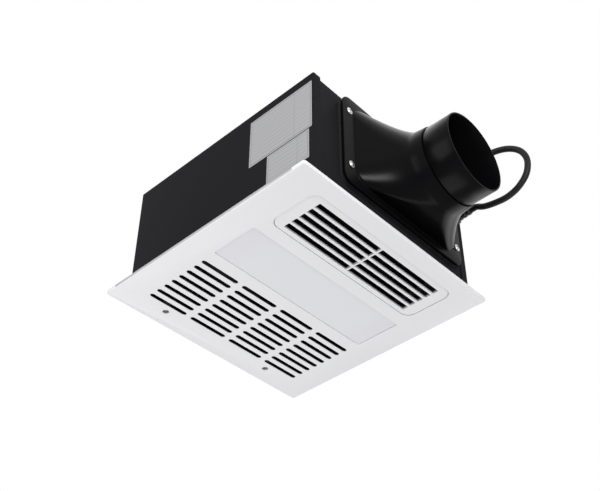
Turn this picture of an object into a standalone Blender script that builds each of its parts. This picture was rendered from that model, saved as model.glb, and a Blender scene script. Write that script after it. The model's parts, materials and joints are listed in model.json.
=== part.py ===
"""Ceiling heater, light and exhaust fan, as the separate pieces that it comes apart into.

Units are metres and +Z is up. The origin is the centre of the white panel on the ceiling plane:
the panel hangs below z = 0 and the steel housing stands above it. +X points along the duct.
"""
import math

import bmesh
import bpy
from mathutils import Matrix, Vector

# Clearances and sheet metal
GAP = 0.0003               # left between pieces that touch
RUNNING = 0.0002           # round a pin that something turns on
SHEET = 0.0010             # housing, scroll and casing steel
SHEET_BEND = 0.0015        # centre-line radius of a fold

# White panel and what is cut in it
PANEL_OVERHANG = (0.0100, 0.0235)  # beyond the housing, along X and along Y
PANEL_DEPTH = 0.0040       # face below the ceiling plane
PANEL_WALL = 0.0022
PANEL_RIM = 0.0024
PANEL_CORNER = 0.0035
PANEL_EDGE = 0.0011        # rounding of the face's edge
SLOT_ROWS = 8
SLOT_COLUMNS = 4
SLOT_WIDTH = 0.0060
SLOT_BRIDGE = 0.0074       # between the slots of a row
SLOT_MARGIN = 0.0068       # ends of a row from the housing's lip
SLOTS_TO_SCREWS = 0.0136   # first row from the panel's screws
SLOTS_TO_LENS = 0.0208     # last row from the lens
HOOK_CLEAR = 0.00075       # between a hook's back and the housing's lip
HOOK_WIDTH = 0.0120
HOOK_WALL = 0.0018
HOOK_REACH = 0.0034
HOOK_HEIGHT = 0.0030
BOSS_RADIUS = 0.0055
BOSS_HEIGHT = 0.0075
PANEL_SCREW_INSET = 0.0119 # from the housing's end wall
PANEL_SCREWS_IN = (0.0482, 0.0551)  # from the housing's sides

# Screws
SCREW_HEAD = 0.0038
SCREW_SHANK = 0.0018
SCREW_SEAT = 0.0005        # roof of the panel's screw wells
HEAD_HEIGHT = 0.0023

# Lens and light
LENS_WIDTH = 0.0628
LENS_MARGIN = 0.0066       # ends of the lens from the housing's lip
LENS_STRIP = 0.0180        # plain panel between the lens and the louvre insert
LENS_INSET = 0.0004        # lens face behind the panel face
LENS_FLANGE = 0.0026
LENS_BACK = 0.0020         # thickness of the lens behind the panel wall
TRAY_HEIGHT = 0.0195
TRAY_TAPER = 0.0065
BOARD_WIDTH = 0.0400
BOARD_MARGIN = 0.0150
BOARD_THICK = 0.0016
LED_SIZE = 0.0030
LED_HEIGHT = 0.0008
LED_COUNT = 7
DRIVER_SIZE = (0.0340, 0.0720, 0.0200)
DRIVER_Y = 0.0550

# Louvre insert
INSERT_WIDTH = 0.0690
INSERT_RIM = 0.0120        # from the housing's duct side
INSERT_SHORTER = 0.0036    # than the lens, at each end
INSERT_Y = 0.0016          # centre of the insert and its louvres
INSERT_CORNER = 0.0120
INSERT_GAP = 0.0005
INSERT_INSET = 0.0006
INSERT_FLANGE = 0.0025
INSERT_BACK = 0.0014
LOUVRE_ROWS = 5
LOUVRE_WIDTH = 0.0084
LOUVRE_CORNER = 0.0010
LOUVRE_BRIDGE = 0.0018
LOUVRE_RIM = 0.0075        # from the insert's long edges
LOUVRE_END = 0.0006        # from the heater casing's end plates
LOUVRE_SHIFT = -0.0012     # louvres from the middle of the insert, along X
VANE_THICK = 0.0014
VANE_RISE = 0.0080
VANE_LEAN = math.radians(32)

# Steel housing
HOUSING_LENGTH = 0.3000
HOUSING_WIDTH = 0.2730
HOUSING_HEIGHT = 0.1635
HOUSING_X = 0.0023         # centre of the housing from the centre of the panel
HOUSING_LIFT = 0.0005      # its mouth above the panel's rim
LIP = 0.0050               # inward lip round the mouth
LAP = 0.0116               # corner flange folded over the duct side
COVER_DROP = 0.0020        # top cover below the walls' upper edge
COVER_FOLD = 0.0080
DUCT_PANEL_FOLD = 0.0100
JOIST_SLOT = (0.0050, 0.0090)
JOIST_SLOTS_Y = (-0.095, 0.095)
JOIST_SLOTS_Z = (0.045, 0.130)
BRACKET_WIDTH = 0.0180
BRACKET_SHEET = 0.0012
BRACKET_HEIGHT = 0.0220
BRACKET_LEG = 0.0168

# Duct adapter
DUCT_TO_SIDE = 0.1242      # centre line of the round duct from the housing's far side
DUCT_Z = 0.0720
GASKET_THICK = 0.0046
GASKET_INSET = 0.0010
GASKET_BAND = 0.0110
FLANGE_THICK = 0.0035
FLANGE_REACH = 0.1074      # from the duct's centre line to -Y
FLANGE_TO_GLAND = 0.0016
FLANGE_LOW = 0.0205
FLANGE_TO_TOP = 0.0055     # below the housing's upper edge
FLANGE_CORNER = 0.0140
FLANGE_SCREWS_IN = ((0.0107, 0.0080), (0.0272, 0.0242))  # from its edges, along Y and Z
BASE_IN = ((0.0176, 0.0144), (0.0085, 0.0080))  # foot of the hood from the flange's edges
BASE_CORNER = 0.0220
HOOD_LENGTH = 0.0488       # from the flange to where the hood has become round
HOOD_POWER = 1.50          # how quickly the hood draws in as it leaves the flange
HOOD_STEPS = 6
HOOD_FILLET = 0.0015
NECK_LENGTH = 0.0153
NECK_STEP = (0.0031, 0.0014)       # neck over the collar, at its root and at its tip
GROOVE = 0.0012
COLLAR_RADIUS = 0.0506
COLLAR_LENGTH = 0.0335
COLLAR_TAPER = 0.0004
ADAPTER_WALL = 0.0024
RING_POINTS = 36           # points round the adapter, a multiple of four

# Back-draught flap
FLAP_FROM_NECK = 0.0065
FLAP_THICK = 0.0012
FLAP_CLEAR = 0.0016        # between the flap's edge and the bore
FLAP_PIN_RISE = 0.0150     # pin above the duct's centre
FLAP_PIN_RADIUS = 0.00125
FLAP_BARREL_RADIUS = 0.0026
FLAP_SOCKET = 0.0012       # depth of the pin's sockets in the wall
STOP_SIZE = 0.0045

# Exhaust blower
SCROLL_TO_END = 0.00382    # scroll from the housing's end wall
SCROLL_TO_SIDE = 0.01324   # and from its near side
SCROLL_OVER_CASING = 0.0042
SCROLL_DROP = 0.0115       # top of the scroll below the cover
SCROLL_CLEAR = 0.0055      # scroll from the wheel at the cut-off
SCROLL_GROWTH = 0.0310     # added to its radius over the whole sweep
SCROLL_SWEEP = math.radians(290)
SCROLL_STEPS = 22
OUTLET_CUT = 0.0215        # cut-off side of the outlet from the blower's axis
INLET_FLANGE = 0.0030
INLET_CLEAR = 0.0040       # bell mouth inside the blades
BELL_DEPTH = 0.0100
BELL_ROUND = 0.0090
WHEEL_RADIUS = 0.0600
WHEEL_LIFT = 0.0075        # wheel above the scroll's inlet plate
WHEEL_DROP = 0.0095        # wheel below the scroll's top
WHEEL_WALL = 0.0015
BLADES = 28
BLADE_DEPTH = 0.0100
BLADE_THICK = 0.0010
BLADE_STEPS = 2
DISH_CLEAR = 0.0055        # wheel's dish round the motor
DISH_DROP = 0.0070         # dish below the motor
HUB_RADIUS = 0.0075
HUB_DROP = 0.0075          # hub below the dish
SHAFT_RADIUS = 0.0030
MOTOR_RADIUS = 0.0355
MOTOR_HEIGHT = 0.0288
MOTOR_BOSS = 0.0090
PLATE_RADIUS = 0.0340
PLATE_REACH = 0.0500
PLATE_SHEET = 0.0016
PAD_RADIUS = 0.0070
PAD_MARGIN = 0.0100        # pads in from the scroll's wall

# Heater
CASING_OVER_INSERT = 0.0040        # casing beyond the insert's edge
ROLLER_TO_SIDE = 0.0317    # roller's axis from the casing's duct side
ROLLER_LIFT = 0.0030       # roller above the heating core
ROLLER_RADIUS = 0.0215
ROLLER_INNER = 0.0160
ROLLER_END = 0.0050        # roller from the casing's end plates
ROLLER_BLADES = 16
GUIDE_CLEAR = 0.0026       # casing from the roller at the inlet edge
GUIDE_SWEEP = math.radians(120)
TONGUE = (0.0260, -0.0030) # tip of the tongue from the roller's axis, to -X and +Z
TONGUE_Z = 0.0330
ROD_RADIUS = 0.0025
BUSH_RADIUS = 0.0062
CORE_Z = (0.0095, 0.0190)
CORE_MARGIN = 0.0040       # heating core inside the casing
CORE_BAYS = 3
CORE_CELLS = 11
CORE_RIB = 0.0030
END_BLOCK = 0.0090
HEATER_MOTOR_RADIUS = 0.0200
HEATER_MOTOR_LENGTH = 0.0230
HEATER_MOTOR_ROOM = 0.0067 # between the heater's motor and the housing
CUTOUT_RADIUS = 0.0085

# Wiring and supply cable
BOX_DEPTH = 0.0520
BOX_CLEAR = (0.0035, 0.0007)       # from the scroll's outlet and from the housing
BOX_LOW = 0.0820
BOX_DROP = 0.0125          # top of the box below the cover
LID_IN = 0.0020            # lid inside the box's edges
LID_FOLD = 0.0080
BLOCK_HALF = 0.0090        # half the width of the terminal block
BLOCK_HEIGHT = 0.0160
BLOCK_FROM_LID = 0.0220
BLOCK_ENDS = 0.0124        # block from the box's ends
POLE_PITCH = 0.0100
POLE_RADIUS = 0.0026
POLE_DEPTH = 0.0080
CABLE_RADIUS = 0.0040
CABLE_TO_SIDE = 0.0100     # cable from the housing's far side
CABLE_Z = 0.1120
GLAND_BORE = 0.0056
GLAND_FLANGE = 0.0085
GLAND_FLANGE_THICK = 0.0030
GLAND_TIP = 0.0052
RELIEF_LENGTH = 0.0200
COIL_CENTRE = (0.0350, 0.0560)
COIL_MEAN = 0.0440         # radius at the middle of the turns
COIL_TURNS = 2             # turns in each layer
COIL_LAYERS = 2
TURN_GAP = 0.0008          # between turns and between layers
LOOP_POINTS = 24
LEADS_LENGTH = 0.0450
TIE_WIDTH = 0.0060
TIE_THICK = 0.0010
CABLE_ROUTE = (            # free stretch between the gland and the coil
    (0.1960, 0.1262, 0.1052),
    (0.2140, 0.1255, 0.1003),
    (0.2310, 0.1245, 0.0985),
    (0.2480, 0.1232, 0.1030),
    (0.2620, 0.1215, 0.1150),
    (0.2672, 0.1190, 0.1330),
    (0.2610, 0.1165, 0.1500),
    (0.2450, 0.1142, 0.1625),
    (0.2230, 0.1125, 0.1685),
    (0.1950, 0.1110, 0.1692),
    (0.1650, 0.1096, 0.1672),
    (0.1300, 0.1088, 0.1660),
    (0.0850, 0.1086, 0.1658),
)


def inset(span, by):
    """A range drawn in at both ends, by one amount or by one for each end."""
    low, high = by if isinstance(by, tuple) else (by, by)
    return span[0] + low, span[1] - high


def scroll_radius(turned):
    """Radius of the scroll once it has turned so far from its outlet."""
    return WHEEL_RADIUS + SCROLL_CLEAR + SCROLL_GROWTH * (1 - turned / SCROLL_SWEEP)


# Housing, worked out from the sizes above
WALL_X = (HOUSING_X - HOUSING_LENGTH / 2, HOUSING_X + HOUSING_LENGTH / 2)
WALL_Y = HOUSING_WIDTH / 2
SIDE_OUT = WALL_X[1] - SHEET - GAP           # outer face of the duct side
SIDE_IN = SIDE_OUT - SHEET
LIP_Y = WALL_Y - SHEET - LIP
COVER_TOP = HOUSING_HEIGHT - COVER_DROP

# Heater
CASING_HALF = WALL_Y - SHEET - HEATER_MOTOR_ROOM - HEATER_MOTOR_LENGTH - GAP - SHEET / 2
CASING_X = (SIDE_IN - INSERT_RIM - INSERT_WIDTH - CASING_OVER_INSERT, SIDE_IN - GAP)
ROLLER_X = CASING_X[1] - ROLLER_TO_SIDE
ROLLER_Z = CORE_Z[1] + ROLLER_LIFT + ROLLER_RADIUS
ROLLER_HALF = CASING_HALF - ROLLER_END
GUIDE_START = ROLLER_RADIUS + GUIDE_CLEAR
GUIDE_GROWTH = ROLLER_TO_SIDE - GAP - SHEET / 2 - GUIDE_START
CASING_TOP = (ROLLER_Z + GUIDE_START + GUIDE_GROWTH * (1 - math.pi / 2 / GUIDE_SWEEP)
              + SHEET / 2)

# Panel
FACE = -PANEL_DEPTH
PLATE_BACK = FACE + PANEL_WALL
PANEL_HALF = (HOUSING_LENGTH / 2 + PANEL_OVERHANG[0], HOUSING_WIDTH / 2 + PANEL_OVERHANG[1])
PANEL_SCREW_X = WALL_X[0] + PANEL_SCREW_INSET
PANEL_SCREWS_Y = inset((-WALL_Y, WALL_Y), PANEL_SCREWS_IN)
INSERT_X = SIDE_IN - INSERT_RIM - INSERT_WIDTH / 2
LENS_X = INSERT_X - INSERT_WIDTH / 2 - LENS_STRIP - LENS_WIDTH / 2
LENS_LENGTH = 2 * (LIP_Y - LENS_MARGIN)
INSERT_LENGTH = LENS_LENGTH - 2 * INSERT_SHORTER
LOUVRE_PITCH = (INSERT_WIDTH - 2 * LOUVRE_RIM - LOUVRE_WIDTH) / (LOUVRE_ROWS - 1)
LOUVRE_LENGTH = CASING_HALF - SHEET / 2 - LOUVRE_END - LOUVRE_BRIDGE / 2
LOUVRE_X = INSERT_X + LOUVRE_SHIFT
FIRST_SLOT_X = PANEL_SCREW_X + SLOTS_TO_SCREWS
SLOT_PITCH = (LENS_X - LENS_WIDTH / 2 - SLOTS_TO_LENS - FIRST_SLOT_X) / (SLOT_ROWS - 1)
SLOT_LENGTH = (2 * (LIP_Y - SLOT_MARGIN) - (SLOT_COLUMNS - 1) * SLOT_BRIDGE) / SLOT_COLUMNS
LENS_TOP = PLATE_BACK + GAP + LENS_BACK
TRAY_BOTTOM = LENS_TOP + GAP
TRAY_TOP = TRAY_BOTTOM + TRAY_HEIGHT

# Duct adapter
DUCT_Y = WALL_Y - DUCT_TO_SIDE
CABLE_Y = WALL_Y - CABLE_TO_SIDE
GASKET_X = (SIDE_OUT + GAP, SIDE_OUT + GAP + GASKET_THICK)
FLANGE_FRONT = GASKET_X[1] + GAP + FLANGE_THICK
FLANGE_Y = (DUCT_Y - FLANGE_REACH, CABLE_Y - GLAND_FLANGE - FLANGE_TO_GLAND)
FLANGE_Z = (FLANGE_LOW, HOUSING_HEIGHT - FLANGE_TO_TOP)
FLANGE_SCREWS_Y = inset(FLANGE_Y, FLANGE_SCREWS_IN[0])
FLANGE_SCREWS_Z = inset(FLANGE_Z, FLANGE_SCREWS_IN[1])
BASE_Y = inset(FLANGE_Y, BASE_IN[0])
BASE_Z = inset(FLANGE_Z, BASE_IN[1])
NECK_X = FLANGE_FRONT + HOOD_LENGTH
NECK_TIP_X = NECK_X + NECK_LENGTH
COLLAR_X = NECK_TIP_X + GROOVE
MOUTH_X = COLLAR_X + COLLAR_LENGTH
NECK_RADIUS = COLLAR_RADIUS + NECK_STEP[0]
NECK_TIP_RADIUS = COLLAR_RADIUS + NECK_STEP[1]
BORE = COLLAR_RADIUS - ADAPTER_WALL
FLAP_X = NECK_X + FLAP_FROM_NECK

# Exhaust blower
SCROLL_BOTTOM = CASING_TOP + SCROLL_OVER_CASING
SCROLL_TOP = COVER_TOP - SCROLL_DROP
BLOWER_X = WALL_X[0] + SHEET + SCROLL_TO_END + scroll_radius(math.pi / 2)
BLOWER_Y = -WALL_Y + SHEET + SCROLL_TO_SIDE + scroll_radius(math.pi)
OUTLET_Y = BLOWER_Y + scroll_radius(0)
OUTLET_CUT_Y = BLOWER_Y + OUTLET_CUT
WHEEL_INNER = WHEEL_RADIUS - BLADE_DEPTH
WHEEL_BOTTOM = SCROLL_BOTTOM + WHEEL_LIFT
WHEEL_TOP = SCROLL_TOP - WHEEL_DROP
INLET_RADIUS = WHEEL_INNER - INLET_CLEAR
PLATE_BOTTOM = SCROLL_TOP - SHEET - GAP - PLATE_SHEET
MOTOR_TOP = PLATE_BOTTOM - GAP
MOTOR_BOTTOM = MOTOR_TOP - MOTOR_HEIGHT
DISH_RADIUS = MOTOR_RADIUS + DISH_CLEAR
DISH_FLOOR = MOTOR_BOTTOM - DISH_DROP
HUB_BOTTOM = DISH_FLOOR - HUB_DROP

# Wiring and supply cable
BOX_X = SIDE_IN - BOX_DEPTH
BOX_Y = (OUTLET_Y + SHEET + BOX_CLEAR[0], WALL_Y - SHEET - BOX_CLEAR[1])
BOX_Z = (BOX_LOW, COVER_TOP - BOX_DROP)
TURN_PITCH = 2 * CABLE_RADIUS + TURN_GAP
COIL_Z = COVER_TOP + 3 * GAP + TIE_THICK + CABLE_RADIUS
COIL_START = COIL_MEAN + TURN_PITCH * COIL_TURNS / 2
CABLE_START_X = WALL_X[1] + GAP + GLAND_FLANGE_THICK + RELIEF_LENGTH + GAP


def clear_scene():
    """Remove what is already in the file."""
    for old in list(bpy.data.objects):
        bpy.data.objects.remove(old, do_unlink=True)


def material(name, colour, roughness, metallic=0.0):
    """One plain surface."""
    made = bpy.data.materials.new(name)
    made.use_nodes = True
    shader = made.node_tree.nodes["Principled BSDF"]
    shader.inputs["Base Color"].default_value = (*colour, 1.0)
    shader.inputs["Roughness"].default_value = roughness
    shader.inputs["Metallic"].default_value = metallic
    return made


WHITE = ((0.76, 0.76, 0.78), 0.42)
FROST = ((0.62, 0.63, 0.64), 0.55)
BLACK_PAINT = ((0.028, 0.028, 0.030), 0.45)
BLACK_PLASTIC = ((0.018, 0.018, 0.020), 0.32)
RUBBER = ((0.016, 0.016, 0.016), 0.75)
ZINC = ((0.62, 0.62, 0.60), 0.35, 1.0)
CHROME = ((0.80, 0.80, 0.81), 0.12, 1.0)
STEEL = ((0.45, 0.45, 0.46), 0.38, 1.0)
ALUMINIUM = ((0.70, 0.70, 0.70), 0.45, 1.0)
MOTOR_GREY = ((0.20, 0.20, 0.21), 0.40, 0.6)
NYLON = ((0.55, 0.54, 0.50), 0.50)
BOARD_WHITE = ((0.70, 0.71, 0.68), 0.50)
CERAMIC = ((0.42, 0.36, 0.30), 0.70)


def bridge(bm, lower, upper):
    """Join two rings of vertices, either of which may be a single pole."""
    count = max(len(lower), len(upper))
    for i in range(count):
        j = (i + 1) % count
        corners = [lower[i % len(lower)], lower[j % len(lower)]]
        corners += [upper[j % len(upper)], upper[i % len(upper)]]
        unique = list(dict.fromkeys(corners))
        if len(unique) > 2:
            bm.faces.new(unique)


def skin(rings, loop=False):
    """A closed solid through rings of points, capped at both ends or joined into a loop."""
    bm = bmesh.new()
    made = [[bm.verts.new(p) for p in ring] for ring in rings]
    for lower, upper in zip(made, made[1:]):
        bridge(bm, lower, upper)
    if loop:
        bridge(bm, made[-1], made[0])
    else:
        for ring in (made[0], made[-1]):
            if len(ring) > 2:
                bm.faces.new(ring)
    bmesh.ops.recalc_face_normals(bm, faces=bm.faces)
    return bm


def lathe(profile, steps=32, loop=False):
    """Turn (radius, height) points about Z. A point on the axis becomes a pole."""
    rings = []
    for radius, height in profile:
        if radius < 1e-9:
            rings.append([(0.0, 0.0, height)])
            continue
        turns = [2 * math.pi * i / steps for i in range(steps)]
        rings.append([(radius * math.cos(a), radius * math.sin(a), height) for a in turns])
    return skin(rings, loop)


def upright(u, v, w, axis):
    """A point whose outline lies across the named axis and whose third number runs along it."""
    return {"X": (w, u, v), "Y": (u, w, v), "Z": (u, v, w)}[axis]


def prism(outline, low, high, axis="Z"):
    """An outline of (u, v) points pushed along an axis."""
    return skin([[upright(u, v, w, axis) for u, v in outline] for w in (low, high)])


def arc(centre, radius, start, end, steps):
    """Points along an arc, both ends included."""
    turns = [start + (end - start) * i / steps for i in range(steps + 1)]
    return [(centre[0] + radius * math.cos(a), centre[1] + radius * math.sin(a)) for a in turns]


def rounded(u_range, v_range, radius, steps=3):
    """A rectangle with round corners, with the same number of points at each corner."""
    (u0, u1), (v0, v1) = u_range, v_range
    centres = ((u1 - radius, v1 - radius), (u0 + radius, v1 - radius),
               (u0 + radius, v0 + radius), (u1 - radius, v0 + radius))
    points = []
    for quarter, centre in enumerate(centres):
        start = quarter * math.pi / 2
        points += arc(centre, radius, start, start + math.pi / 2, steps)
    return points


def box_outline(u_range, v_range):
    """A rectangle with square corners."""
    (u0, u1), (v0, v1) = u_range, v_range
    return [(u0, v0), (u1, v0), (u1, v1), (u0, v1)]


def around(u, v, half_u, half_v):
    """The two ranges of a rectangle about a centre."""
    return (u - half_u, u + half_u), (v - half_v, v + half_v)


def slot(u, v, length, width, steps=3):
    """A slot with round ends that runs along v."""
    radius = width / 2
    reach = length / 2 - radius
    upper = arc((u, v + reach), radius, 0.0, math.pi, steps)
    return upper + arc((u, v - reach), radius, math.pi, 2 * math.pi, steps)


def circle(u, v, radius, steps=20):
    """A round outline."""
    return arc((u, v), radius, 0.0, 2 * math.pi, steps)[:-1]


def folded(path, thickness, bend=0.0, steps=3):
    """The outline of a sheet of even thickness that follows a path, with round folds."""
    points = [Vector(p) for p in path]
    left, right = [], []

    def add(point, side):
        left.append(point + side * thickness / 2)
        right.append(point - side * thickness / 2)

    for i, point in enumerate(points):
        before = (point - points[i - 1]).normalized() if i else None
        after = (points[i + 1] - point).normalized() if i + 1 < len(points) else None
        if before is None or after is None:
            way = after or before
            add(point, Vector((-way.y, way.x)))
            continue
        sides = [Vector((-way.y, way.x)) for way in (before, after)]
        turn = math.atan2(before.x * after.y - before.y * after.x, before.dot(after))
        if bend and abs(turn) > 1e-6:
            sign = math.copysign(1.0, turn)
            start = point - before * bend * math.tan(abs(turn) / 2)
            centre = start + sides[0] * sign * bend
            for k in range(steps + 1):
                side = Matrix.Rotation(turn * k / steps, 2) @ sides[0]
                add(centre - side * sign * bend, side)
        else:
            side = (sides[0] + sides[1]) / (1 + sides[0].dot(sides[1]))
            add(point, side)
    return [tuple(p) for p in left] + [tuple(p) for p in reversed(right)]


def moved(bm, offset=(0, 0, 0), turn=None):
    """Turn a mesh, then shift it."""
    if turn is not None:
        bmesh.ops.transform(bm, matrix=turn, verts=bm.verts)
    bmesh.ops.translate(bm, vec=Vector(offset), verts=bm.verts)
    return bm


def gathered(meshes):
    """Several meshes in one, for a tool that cuts or adds in many places."""
    whole = bmesh.new()
    for part in meshes:
        data = bpy.data.meshes.new("part")
        part.to_mesh(data)
        part.free()
        whole.from_mesh(data)
        bpy.data.meshes.remove(data)
    return whole


ALONG_X = Matrix.Rotation(math.pi / 2, 4, "Y")    # local Z to +X
ALONG_Y = Matrix.Rotation(-math.pi / 2, 4, "X")   # local Z to +Y


def place(name, bm, finish, origin=(0, 0, 0), sharp=30):
    """Make one named object from a mesh, with its origin at a chosen point."""
    bmesh.ops.translate(bm, vec=-Vector(origin), verts=bm.verts)
    data = bpy.data.meshes.new(name)
    bm.to_mesh(data)
    bm.free()
    made = bpy.data.objects.new(name, data)
    made.location = origin
    bpy.context.scene.collection.objects.link(made)
    data.materials.append(material(name, *finish))
    data.shade_smooth()
    data.set_sharp_from_angle(angle=math.radians(sharp))
    return made


def shape(target, tool_mesh, operation="DIFFERENCE"):
    """Cut a tool from an object, or add it with UNION."""
    data = bpy.data.meshes.new(f"{target.name}_tool")
    tool_mesh.to_mesh(data)
    tool_mesh.free()
    tool = bpy.data.objects.new(f"{target.name}_{operation.lower()}", data)
    bpy.context.scene.collection.objects.link(tool)
    tool.hide_render = True
    tool.display_type = "WIRE"
    step = target.modifiers.new(operation.title(), "BOOLEAN")
    step.operation = operation
    step.solver = "EXACT"
    step.object = tool
    return target


def slot_centres(rows, pitch, first, columns, length, bridge_length):
    """Centres of a grid of slots that is even about y = 0."""
    span = columns * length + (columns - 1) * bridge_length
    for row in range(rows):
        for column in range(columns):
            y = -span / 2 + length / 2 + column * (length + bridge_length)
            yield first + row * pitch, y


def grille_panel():
    """White moulded panel: slots, windows, screw bosses and hooks."""
    def ring(cut, z):
        edge = around(0, 0, PANEL_HALF[0] - cut, PANEL_HALF[1] - cut)
        corner = max(PANEL_CORNER - cut, 0.0008)
        return [(x, y, z) for x, y in rounded(*edge, corner, 4)]

    tray = skin([
        ring(PANEL_RIM, PLATE_BACK), ring(PANEL_RIM, 0.0), ring(0.0, 0.0),
        ring(0.0, FACE + PANEL_EDGE), ring(PANEL_EDGE * 0.3, FACE + PANEL_EDGE * 0.3),
        ring(PANEL_EDGE, FACE),
    ])
    panel = place("grille_panel", tray, WHITE)

    root = FACE + PANEL_WALL / 2
    added = [prism(circle(PANEL_SCREW_X, y, BOSS_RADIUS), root, BOSS_HEIGHT)
             for y in PANEL_SCREWS_Y]
    lip_edge = SIDE_IN - LIP
    catch = HOUSING_LIFT + SHEET + GAP
    back = lip_edge - HOOK_CLEAR - HOOK_WALL
    hook = [(back, root), (back + HOOK_WALL, root), (back + HOOK_WALL, catch),
            (lip_edge + HOOK_REACH, catch), (lip_edge + HOOK_REACH, catch + HOOK_HEIGHT / 2),
            (back, catch + HOOK_HEIGHT)]
    for y in hook_places():
        added.append(prism(hook, y - HOOK_WIDTH / 2, y + HOOK_WIDTH / 2, "Y"))
    shape(panel, gathered(added), "UNION")

    below, above = FACE - 0.002, BOSS_HEIGHT + 0.002
    cuts = [prism(slot(x, y, SLOT_LENGTH, SLOT_WIDTH), below, 0.0)
            for x, y in slot_centres(SLOT_ROWS, SLOT_PITCH, FIRST_SLOT_X,
                                     SLOT_COLUMNS, SLOT_LENGTH, SLOT_BRIDGE)]
    lens = around(LENS_X, 0, LENS_WIDTH / 2, LENS_LENGTH / 2)
    cuts.append(prism(rounded(*lens, 0.0020), below, 0.0))
    insert = around(INSERT_X, INSERT_Y, INSERT_WIDTH / 2, INSERT_LENGTH / 2)
    cuts.append(prism(rounded(*insert, INSERT_CORNER, 5), below, 0.0))
    for y in PANEL_SCREWS_Y:
        well = lathe([(0, FACE - 0.002), (SCREW_HEAD + GAP, FACE - 0.002),
                      (SCREW_HEAD + GAP, SCREW_SEAT), (SCREW_SHANK + GAP, SCREW_SEAT),
                      (SCREW_SHANK + GAP, above), (0, above)], 16)
        cuts.append(moved(well, (PANEL_SCREW_X, y, 0)))
    return shape(panel, gathered(cuts))


def hook_places():
    """Where the panel's hooks stand, outside the heater's casing."""
    y = (CASING_HALF + LIP_Y) / 2
    return -y, y


def screw(name, base, way, length, finish, washer=False):
    """A pan-head screw whose head sits under its seat at base."""
    head = [(0, -HEAD_HEIGHT), (SCREW_HEAD * 0.60, -HEAD_HEIGHT * 0.94),
            (SCREW_HEAD * 0.90, -HEAD_HEIGHT * 0.65), (SCREW_HEAD, -HEAD_HEIGHT * 0.25)]
    if washer:
        head += [(SCREW_HEAD, -0.0007), (SCREW_HEAD * 1.15, -0.0007), (SCREW_HEAD * 1.15, 0)]
    else:
        head += [(SCREW_HEAD, 0)]
    head += [(SCREW_SHANK, 0), (SCREW_SHANK, length - 0.0015), (0, length)]
    turn = Vector((0, 0, 1)).rotation_difference(Vector(way)).to_matrix().to_4x4()
    return place(name, moved(lathe(head, 12), base, turn), finish)


def panel_screws():
    """The two bright screws that hold the panel to its brackets."""
    for number, y in enumerate(PANEL_SCREWS_Y, 1):
        screw(f"panel_screw_{number}", (PANEL_SCREW_X, y, SCREW_SEAT - GAP), (0, 0, 1),
              0.0165, CHROME)


def screw_brackets():
    """Steel angles on the housing's wall that the panel screws bite into."""
    leg = WALL_X[0] + SHEET + GAP + BRACKET_SHEET / 2
    foot = BOSS_HEIGHT + GAP + BRACKET_SHEET / 2
    path = [(leg, foot + BRACKET_HEIGHT), (leg, foot), (leg + BRACKET_LEG, foot)]
    outline = folded(path, BRACKET_SHEET, SHEET_BEND)
    for number, y in enumerate(PANEL_SCREWS_Y, 1):
        bracket = place(f"screw_bracket_{number}",
                        prism(outline, y - BRACKET_WIDTH / 2, y + BRACKET_WIDTH / 2, "Y"), ZINC)
        hole = prism(circle(PANEL_SCREW_X, y, SCREW_SHANK + GAP), foot - 0.004, foot + 0.004)
        shape(bracket, hole)


def stepped(u_range, v_range, corner, face, step, back, flange):
    """A slab whose face fills a window and whose wider back lies behind the window's wall."""
    def ring(extra, z):
        wide = [(low - extra, high + extra) for low, high in (u_range, v_range)]
        return [(x, y, z) for x, y in rounded(*wide, corner + extra, 4)]

    return skin([ring(0, face), ring(0, step), ring(flange, step), ring(flange, back)])


def light():
    """Frosted lens, reflector tray, board with its diodes, and driver."""
    half_x, half_y = LENS_WIDTH / 2 - GAP, LENS_LENGTH / 2 - GAP
    lens = around(LENS_X, 0, half_x, half_y)
    place("light_lens", stepped(*lens, 0.0018, FACE + LENS_INSET, PLATE_BACK + GAP, LENS_TOP,
                                LENS_FLANGE), FROST)

    def ring(cut, z):
        spread = around(LENS_X, 0, half_x + LENS_FLANGE - cut, half_y + LENS_FLANGE - cut)
        return [(x, y, z) for x, y in rounded(*spread, 0.0040, 3)]

    roof = TRAY_TOP - SHEET
    tray = skin([ring(TRAY_TAPER + SHEET, roof), ring(SHEET, TRAY_BOTTOM), ring(0, TRAY_BOTTOM),
                 ring(TRAY_TAPER, TRAY_TOP)])
    place("light_tray", tray, WHITE)

    top = roof - GAP
    bottom = top - BOARD_THICK
    reach = LENS_LENGTH / 2 - BOARD_MARGIN
    board = place("light_board", prism(rounded(*around(LENS_X, 0, BOARD_WIDTH / 2, reach), 0.0020),
                                       bottom, top), BOARD_WHITE)
    chips = []
    for row in (-1, 1):
        for i in range(LED_COUNT):
            y = reach * (2 * (i + 0.5) / LED_COUNT - 1)
            chip = around(LENS_X + row * BOARD_WIDTH / 4, y, LED_SIZE / 2, LED_SIZE / 2)
            chips.append(prism(box_outline(*chip), bottom - LED_HEIGHT, bottom + 0.0004))
    shape(board, gathered(chips), "UNION")

    width, length, height = DRIVER_SIZE
    foot = TRAY_TOP + GAP
    driver = place("light_driver", prism(rounded(*around(LENS_X, DRIVER_Y, width / 2, length / 2),
                                                 0.0030), foot, foot + height), WHITE)
    ears = prism(rounded(*around(LENS_X, DRIVER_Y, width / 4, length / 2 + 0.0070), 0.0030),
                 foot, foot + 0.0020)
    shape(driver, ears, "UNION")
    holes = [prism(circle(LENS_X, DRIVER_Y + side * (length / 2 + 0.0035), 0.0016, 12),
                   foot - 0.001, foot + 0.004) for side in (-1, 1)]
    shape(driver, gathered(holes))


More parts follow.
